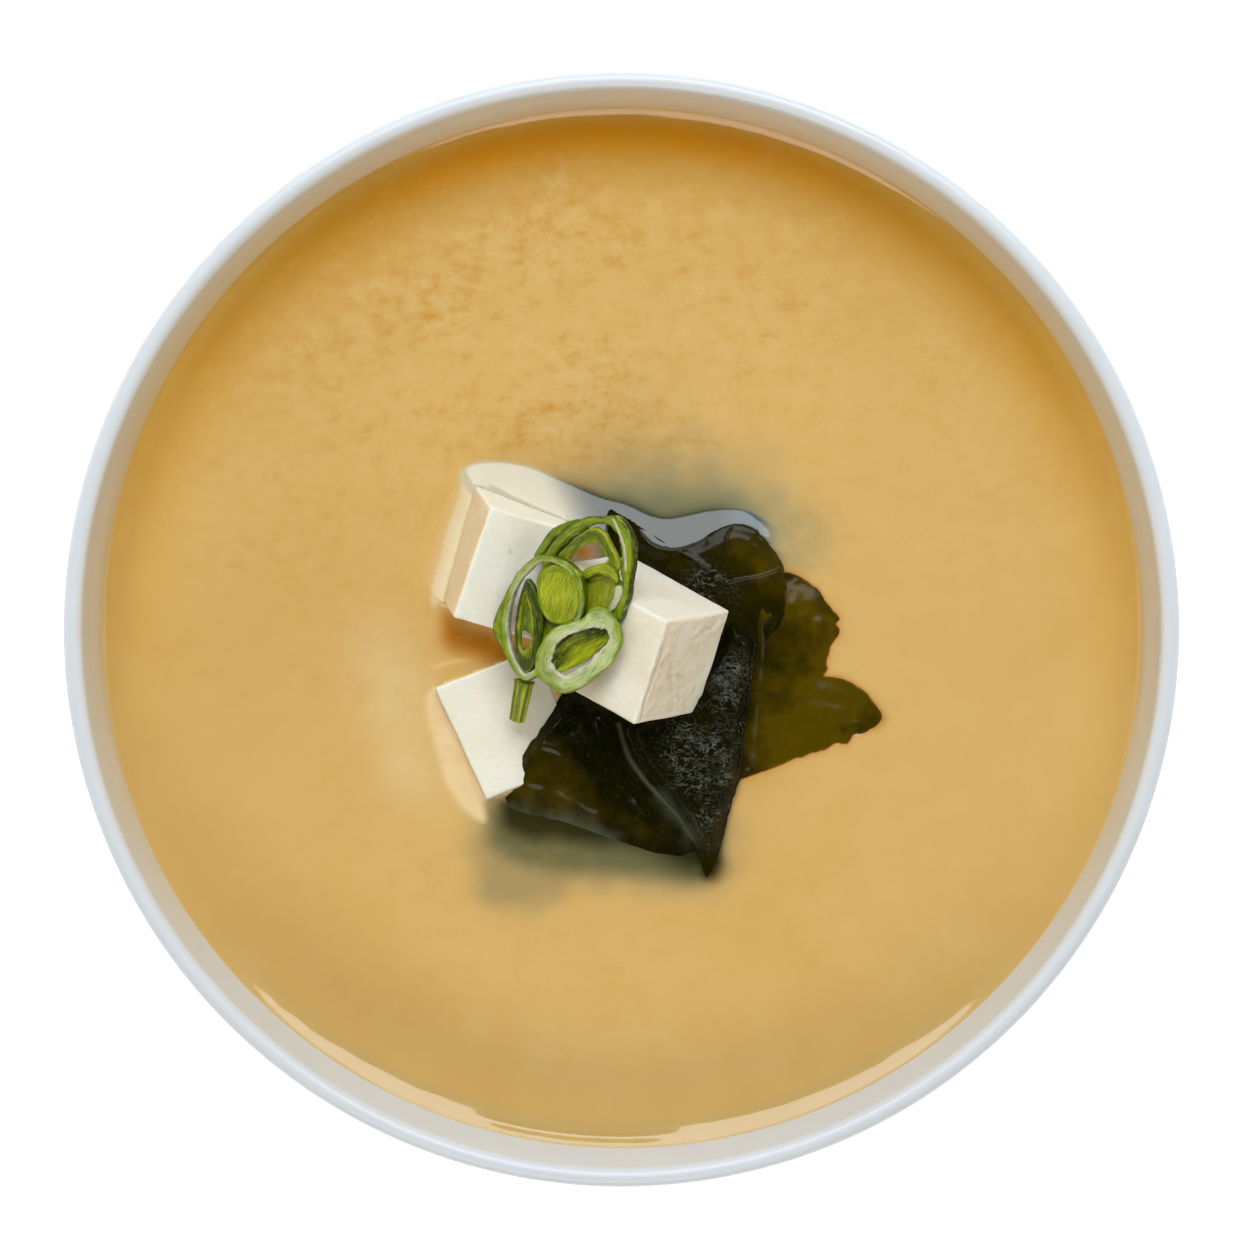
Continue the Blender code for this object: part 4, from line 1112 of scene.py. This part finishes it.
# Thin skins across the openings
membranes = {
    "backFloor": {
        "plane": "back", "drop": 0.45, "thickness": 0.4, "grain": 62.0, "tones": ("green", "yellow"),
        "outline": (
            (-3.98, 5.30), (-1.77, 6.04), (0.63, 4.94), (0.45, 3.09), (-0.47, 1.80), (-2.14, 1.98),
            (-3.61, 1.61), (-3.98, 3.46))},
    "heart": {
        "plane": "left", "drop": 0.22, "thickness": 0.5, "grain": 74.0, "tones": ("green", "yellow"),
        "outline": (
            (-8.2, 4.9), (-7.63, 6.0), (-6.75, 6.4), (-5.6, 6.3), (-4.6, 5.6), (-4.15, 4.3), (-4.2, 2.4),
            (-4.7, 1.2), (-5.83, 0.85), (-7.0, 1.1), (-7.8, 1.9), (-8.3, 3.3))},
    "leftFloor": {
        "plane": "left", "drop": 0.5, "thickness": 0.4, "grain": 80.0, "tones": ("skin", "green"),
        "outline": (
            (-9.98, 3.9), (-9.3, 2.35), (-9.1, 0.88), (-9.2, -0.40), (-10.0, -0.1), (-10.7, 0.2),
            (-10.6, 1.3), (-10.4, 2.5))},
    "leftSkin": {
        "plane": "left", "drop": 0.9, "thickness": 0.4, "grain": 60.0, "tones": ("skin", "green"),
        "outline": (
            (-9.0, 3.2), (-8.0, 1.6), (-6.4, 1.0), (-5.9, -0.4), (-7.0, -2.2), (-8.6, -4.2), (-9.5, -4.0),
            (-8.9, -1.6), (-8.5, 0.6))},
    "frontLeaf": {
        "plane": "front", "drop": 0.5, "thickness": 0.55, "grain": 33.0, "tones": ("skin", "bright"),
        "outline": (
            (-7.3, -2.9), (-5.93, -1.3), (-4.72, -0.40), (-3.24, 0.2), (-1.95, 0.5), (-1.0, 0.1),
            (-0.9, -0.88), (-1.9, -1.75), (-3.0, -2.8), (-4.0, -3.5), (-5.2, -4.0), (-6.19, -4.4),
            (-7.1, -3.83))},
}
slices = {
    "onion_slice_back": {
        "walls": ("backRing", "backInner"), "strands": ("backOuter", "backArch", "backPale", "backThread"),
        "membranes": ("backFloor",), "nodes": ("onion_back", "onion_back_inner")},
    "onion_slice_left": {
        "walls": ("leftRing", "leftInner", "heartRing"), "strands": ("leftOuter",),
        "membranes": ("heart", "leftFloor", "leftSkin"),
        "nodes": ("onion_left", "onion_left_inner", "onion_heart")},
    "onion_slice_front": {
        "walls": ("frontRing",), "strands": (), "membranes": ("frontLeaf",),
        "nodes": ("onion_front", "onion_front_inner")},
}


def onPlane(xy, plane, drop):
    # Points of the slice's upper plane over their x and y, lowered along the plane's normal
    centre, normal = (np.array(part, dtype=float) for part in onion["planes"][plane])
    xy = xy + np.array(onion["shifts"][plane])
    normal = normal / np.linalg.norm(normal)
    rise = -((xy[..., 0] - centre[0]) * normal[0] + (xy[..., 1] - centre[1]) * normal[1]) / normal[2]
    return flat(xy[..., 0], xy[..., 1], centre[2] + rise) - normal * drop, normal


def toneColour(name):
    return linear(onion["colours"][name])


def bandPart(shape, seed, closed):
    # The middle line plus half the width times a squared cosine, plus the normal times the height times a
    # squared sine: a wall with rounded corners, whose upper face lies in the slice's plane
    samples, sides = onion["bandSamples"], onion["bandSides"]
    curve = closedCurve if closed else openCurve
    pairs = np.array(shape["pairs"], dtype=float)
    outer, inner = curve(pairs[:, 0], samples), curve(pairs[:, 1], samples)
    middle, half = (outer + inner) / 2, (outer - inner) / 2
    phase = np.linspace(0.0, 2 * math.pi, sides, endpoint=False)
    across = np.sign(np.cos(phase)) * np.abs(np.cos(phase)) ** 0.6
    up = np.sign(np.sin(phase)) * np.abs(np.sin(phase)) ** 0.6
    share = np.arange(samples) / samples if closed else np.linspace(0.0, 1.0, samples)
    taper = np.ones(samples) if closed else np.clip(1.0 - np.abs(2 * share - 1.0) ** 6, 0.02, 1.0) ** 0.5
    ripple = 1.0 + 0.10 * latticeNoise(flat(middle[:, 0], middle[:, 1], 0.0), 1.1, seed)
    ragged = 0.10 * latticeNoise(flat(middle[:, 0], middle[:, 1], 0.0), 0.4, seed + 4)
    wide = across * (taper * ripple)[:, None] + np.where(across < 0.0, across, 0.0) * ragged[:, None]
    xy = middle[:, None] + half[:, None] * wide[..., None]
    points, normal = onPlane(xy, shape["plane"], shape.get("drop", 0.0))
    height = shape["height"] * taper
    sag = 0.10 * latticeNoise(points, 1.5, seed + 1) + 0.05 * latticeNoise(points, 0.6, seed + 2)
    cup = -0.10 * (1.0 - across ** 2) * (up > 0)  # the cut face is a little hollow between its skins
    points = points + normal * (height[:, None] * (up[None] - 1.0) / 2 + sag + cup)[..., None]
    length = np.linalg.norm(np.diff(middle, axis=0), axis=1).sum() / (2 * math.pi)
    width = np.linalg.norm(half, axis=1)[:, None] * across
    if closed:
        grain = np.stack(np.broadcast_arrays(
            width, length * np.cos(2 * math.pi * share)[:, None],
            length * np.sin(2 * math.pi * share)[:, None]), -1)
    else:
        grain = np.stack(np.broadcast_arrays(width, length * 6.28 * share[:, None], seed * 1.0), -1)
    skin, flesh, lining = (toneColour(name) for name in shape["tones"])
    level = across[None, :, None] + 0.16 * fractal(points, 0.7, 2, seed + 5)[..., None]
    outside = smooth(0.45, 0.95, level) + smooth(0.2, -0.6, up)[None, :, None] * smooth(-0.2, 0.4, level)
    inside = smooth(-0.25, -0.9, level)
    if "patches" in shape:
        patchTone, strength = shape["patches"]
        mask = strength * smooth(-0.15, 0.35, fractal(points, 2.6, 2, seed + 6))[..., None]
        flesh = flesh * (1.0 - mask) + toneColour(patchTone) * mask
    colour = flesh * (1.0 - inside) + lining * inside
    colour = colour * (1.0 - np.clip(outside, 0, 1)) + skin * np.clip(outside, 0, 1)
    patch = 0.5 + 0.5 * fractal(points, 1.8, 2, seed + 3)[..., None]
    colour = colour * (1.0 - 0.30 * patch) + toneColour("deep") * 0.18 * patch
    # Painted shade: the walls darken towards their lower sides
    colour = colour * (0.45 + 0.55 * smooth(-0.7, 0.55, up))[None, :, None]
    if closed:
        skinPoints, faces = looped(points)
        return skinPoints, faces, {"onionColour": colour.reshape(-1, 3), "grain": grain.reshape(-1, 3)}
    skinPoints, faces = capped(points)

    def withEnds(values):
        return np.concatenate([values[:1].mean(axis=1), values.reshape(-1, 3), values[-1:].mean(axis=1)])
    return skinPoints, faces, {"onionColour": withEnds(colour), "grain": withEnds(grain)}


def membranePart(shape, seed):
    # Rings from the middle to the outline over the top and back underneath, with a light sag and wrinkles
    line = closedCurve(shape["outline"], 96)
    centre = line.mean(axis=0)
    out = np.concatenate([np.linspace(0.02, 1.0, 26), np.linspace(1.0, 0.05, 8)[1:]])[:, None, None]
    xy = centre + (line - centre) * out
    under = (np.arange(len(out)) >= 26)[:, None]
    points, normal = onPlane(xy, shape["plane"], shape["drop"])
    wrinkle = 0.10 * latticeNoise(points * np.array((1.0, 0.5, 0.5)), 0.7, seed)
    wrinkle = wrinkle - 0.12 * (1.0 - out[..., 0] ** 2)
    lower = np.where(under, -shape["thickness"] * np.sqrt(1.0 - 0.98 * out[..., 0] ** 4), 0.0)
    points = points + normal * (wrinkle + lower)[..., None]
    skinPoints, faces = capped(points)
    away = skinPoints[:, :2] - skinPoints[:, :2].mean(axis=0)
    rimward = np.linalg.norm(away, axis=1)
    if "grain" in shape:
        turn = math.radians(shape["grain"])
        along = away @ np.array((math.cos(turn), math.sin(turn)))
        aside = away @ np.array((-math.sin(turn), math.cos(turn)))
    else:
        # Without a direction the fibres run round the middle
        along, aside = np.arctan2(away[:, 1], away[:, 0]) * 1.2, 0.45 * rimward
    fibres = flat(aside, along, 0.0)
    rimward = rimward / rimward.max()
    streak = 1.2 * fractal(fibres * np.array((1.0, 0.22, 1.0)), 0.75, 3, seed + 1) * (0.35 + 0.65 * rimward)
    # Painted shade: the skin is lighter towards the lower right
    streak = streak + 0.14 * (away @ np.array((0.55, -0.8)))
    low, high = (toneColour(name) for name in shape["tones"])
    mask = np.clip(0.62 + 0.55 * streak - 0.35 * rimward, 0.0, 1.0)[:, None]
    colour = low * (1.0 - mask) + high * mask
    return skinPoints, faces, {"onionColour": colour, "grain": fibres}


def stalkPart():
    # A flattened tube along its axis, wider at the top, with ribs along it
    stalk = {"start": (-10.4, -5.5, 5.3), "end": (-11.35, -10.05, 2.95), "half": (1.02, 0.80), "flat": 0.55,
        "ribs": 7}
    start, end = np.array(stalk["start"]), np.array(stalk["end"])
    share = np.linspace(0.0, 1.0, 60)[:, None]
    turn = np.linspace(0.0, 2 * math.pi, 64, endpoint=False)
    direction = (end - start) / np.linalg.norm(end - start)
    side = np.cross(direction, (0.0, 0.0, 1.0))
    side /= np.linalg.norm(side)
    up = np.cross(side, direction)
    width = stalk["half"][0] + (stalk["half"][1] - stalk["half"][0]) * share
    flare = 1.0 + 0.12 * np.exp(-(share / 0.06) ** 2)
    rib = 1.0 + 0.07 * np.cos(stalk["ribs"] * turn) + 0.04 * np.cos(3 * turn + 1.0)
    ends = np.clip(np.minimum(share, 1.0 - share) / 0.02, 0.25, 1.0) ** 0.5
    sideways = width * flare * rib * np.cos(turn) * ends
    upwards = width * stalk["flat"] * rib * np.sin(turn) * ends
    bend = 0.25 * np.sin(math.pi * share)
    points = (start + (end - start) * share)[:, None] + sideways[..., None] * side
    points = points + (upwards + bend)[..., None] * up
    streak = np.cos(stalk["ribs"] * turn + 0.6) * 0.5 + 0.5
    mix = (streak[None] + 0.0 * share)[..., None]
    colour = toneColour("deep") * (1.0 - mix) + toneColour("bright") * mix
    grain = np.stack(np.broadcast_arrays(sideways, share * 4.5, upwards), -1)
    skinPoints, faces = capped(points)

    def withEnds(values):
        return np.concatenate([values[:1].mean(axis=1), values.reshape(-1, 3), values[-1:].mean(axis=1)])
    return skinPoints, faces, {"onionColour": withEnds(colour), "grain": withEnds(grain)}


def buildOnion():
    # Each slice from its walls, strands and skins, then the short cut leaf below it
    green = Finish("spring_onion", {
        "Roughness": 0.3, "IOR": 1.36, "Subsurface Weight": 0.1, "Subsurface Radius": (0.5, 0.9, 0.2),
        "Subsurface Scale": 0.0006, "Coat Weight": 0.1, "Coat Roughness": 0.12})
    grain = green.vector("grain")
    fibre = green.noise(green.stretched(grain, (5.5, 0.8, 0.8)), 1.0, 3.0, 0.6)
    speckle = green.noise(green.place(), 0.00028, 3.0, 0.6)
    colour = green.colour("onionColour")
    colour = green.mix(green.ramp(fibre, 0.50, 0.30, 0.0, 0.6), colour, tuple(linear((52, 70, 0))))
    colour = green.mix(green.ramp(fibre, 0.54, 0.74, 0.0, 0.65), colour, tuple(linear((196, 200, 78))))
    colour = green.mix(green.ramp(speckle, 0.6, 0.8, 0.0, 0.25), colour, tuple(linear((214, 214, 140))))
    green.set("Base Color", colour)
    green.set("Normal", green.bump(fibre + speckle * 0.5, 0.00008, 0.8))
    seed = 100
    for name, layers in slices.items():
        parts = []
        for wall in layers["walls"]:
            parts.append(bandPart(walls[wall], seed, True))
            seed += 7
        for strand in layers["strands"]:
            parts.append(bandPart(strands[strand], seed, False))
            seed += 7
        for membrane in layers["membranes"]:
            parts.append(membranePart(membranes[membrane], seed))
            seed += 7
        for points, faces, values in parts:
            points[:, 2] += soupLevel
        buildPiece(name, parts, green.material, layers["nodes"])
    points, faces, values = stalkPart()
    points[:, 2] += soupLevel
    buildPiece("onion_cut_leaf", [(points, faces, values)], green.material, ["onion_stalk"])


studio = {
    "floorSize": 4.0, "floorColour": (0.92, 0.92, 0.92),
    "world": (0.34, 0.335, 0.33),
    # name: (azimuth, elevation, distance, width, height, radiance, colour), angles in degrees from +X and
    # the floor
    "lights": {
        "key_softbox": (90.0, 52.0, 0.9, 1.0, 0.57, 5.6, (0.955, 1.0, 1.05)),
        "front_softbox": (262.0, 34.0, 1.0, 0.9, 0.36, 4.6, (1.0, 0.98, 0.94)),
        "strip_left": (84.6, 21.0, 0.9, 0.055, 0.05, 9.0, (1.0, 1.0, 1.0)),
        "strip_right": (92.6, 21.0, 0.9, 0.09, 0.05, 9.0, (1.0, 1.0, 1.0)),
        "left_fill": (180.0, 24.0, 1.2, 0.8, 0.5, 1.3, (1.0, 0.98, 0.94)),
        "right_fill": (0.0, 24.0, 1.2, 0.8, 0.5, 1.7, (1.0, 0.98, 0.94)),
    },
    "cameraPlace": (7.0, 10.0, 608.0), "cameraTarget": (1.0, 0.0, 58.0), "frameWidth": 135.2,
    "sensor": 36.0,
}


def facing(place, target, up):
    # A turn and place whose -Z looks at the target
    back = (place - target).normalized()
    right = up.cross(back).normalized()
    turn = Matrix((right, back.cross(right), back)).transposed().to_4x4()
    return Matrix.Translation(place) @ turn


def addLight(name, azimuth, elevation, distance, width, height, radiance, colour):
    # An oval softbox; its power is its radiance times pi times its area
    around, above = math.radians(azimuth), math.radians(elevation)
    target = Vector((0.0, 0.0, soupLevel * mm))
    place = target + distance * Vector((
        math.cos(around) * math.cos(above), math.sin(around) * math.cos(above), math.sin(above)))
    lamp = bpy.data.lights.new(name, "AREA")
    lamp.shape = "ELLIPSE"
    lamp.size, lamp.size_y = width, height
    lamp.energy = radiance * math.pi * math.pi / 4 * width * height
    lamp.color = colour
    light = bpy.data.objects.new(name, lamp)
    light.matrix_world = facing(place, target, Vector((0.0, 0.0, 1.0)))
    bpy.context.scene.collection.objects.link(light)


def buildStudio():
    half = studio["floorSize"] / 2
    mesh = bpy.data.meshes.new("table_top")
    mesh.from_pydata([(-half, -half, 0), (half, -half, 0), (half, half, 0), (-half, half, 0)], [],
        [(0, 1, 2, 3)])
    floor = bpy.data.objects.new("table_top", mesh)
    bpy.context.scene.collection.objects.link(floor)
    paper = Finish("white_table", {"Roughness": 0.9})
    shade = paper.noise(paper.place(), 0.3, 2.0)
    tone = studio["floorColour"]
    paper.set("Base Color", paper.mix(shade, tone, tuple(part * 1.02 for part in tone)))
    paper.shader.inputs["Emission Color"].default_value = (1.0, 1.0, 1.0, 1.0)
    paper.shader.inputs["Emission Strength"].default_value = 0.6
    mesh.materials.append(paper.material)
    world = bpy.data.worlds.new("studio")
    world.use_nodes = True
    # The room is dark overhead and brighter towards its walls
    tree = world.node_tree
    background = tree.nodes["Background"]
    direction, split, fade = (tree.nodes.new(kind) for kind in (
        "ShaderNodeTexCoord", "ShaderNodeSeparateXYZ", "ShaderNodeMapRange"))
    for socket, value in {"From Min": 0.80, "From Max": 0.30, "To Min": 0.03, "To Max": 1.0}.items():
        fade.inputs[socket].default_value = value
    tree.links.new(direction.outputs["Generated"], split.inputs[0])
    tree.links.new(split.outputs[2], fade.inputs["Value"])
    tree.links.new(fade.outputs[0], background.inputs["Strength"])
    background.inputs["Color"].default_value = (*studio["world"], 1.0)
    bpy.context.scene.world = world
    for name, values in studio["lights"].items():
        addLight(name, *values)
    place, target = (Vector(studio[key]) * mm for key in ("cameraPlace", "cameraTarget"))
    lens = bpy.data.cameras.new("camera")
    lens.sensor_width = studio["sensor"]
    lens.lens = studio["sensor"] * (place - target).length / (studio["frameWidth"] * mm)
    lens.clip_start, lens.clip_end = 0.01, 20.0
    camera = bpy.data.objects.new("camera", lens)
    camera.matrix_world = facing(place, target, Vector((0.0, 1.0, 0.0)))
    bpy.context.scene.collection.objects.link(camera)
    bpy.context.scene.camera = camera
    bpy.context.scene.view_settings.view_transform = "Standard"
    print("studio built:", len(studio["lights"]), "lights")


buildStudio()
buildBowl()
buildTofu()
buildLeaves()
buildSoup()
buildOnion()

bpy.context.view_layer.update()
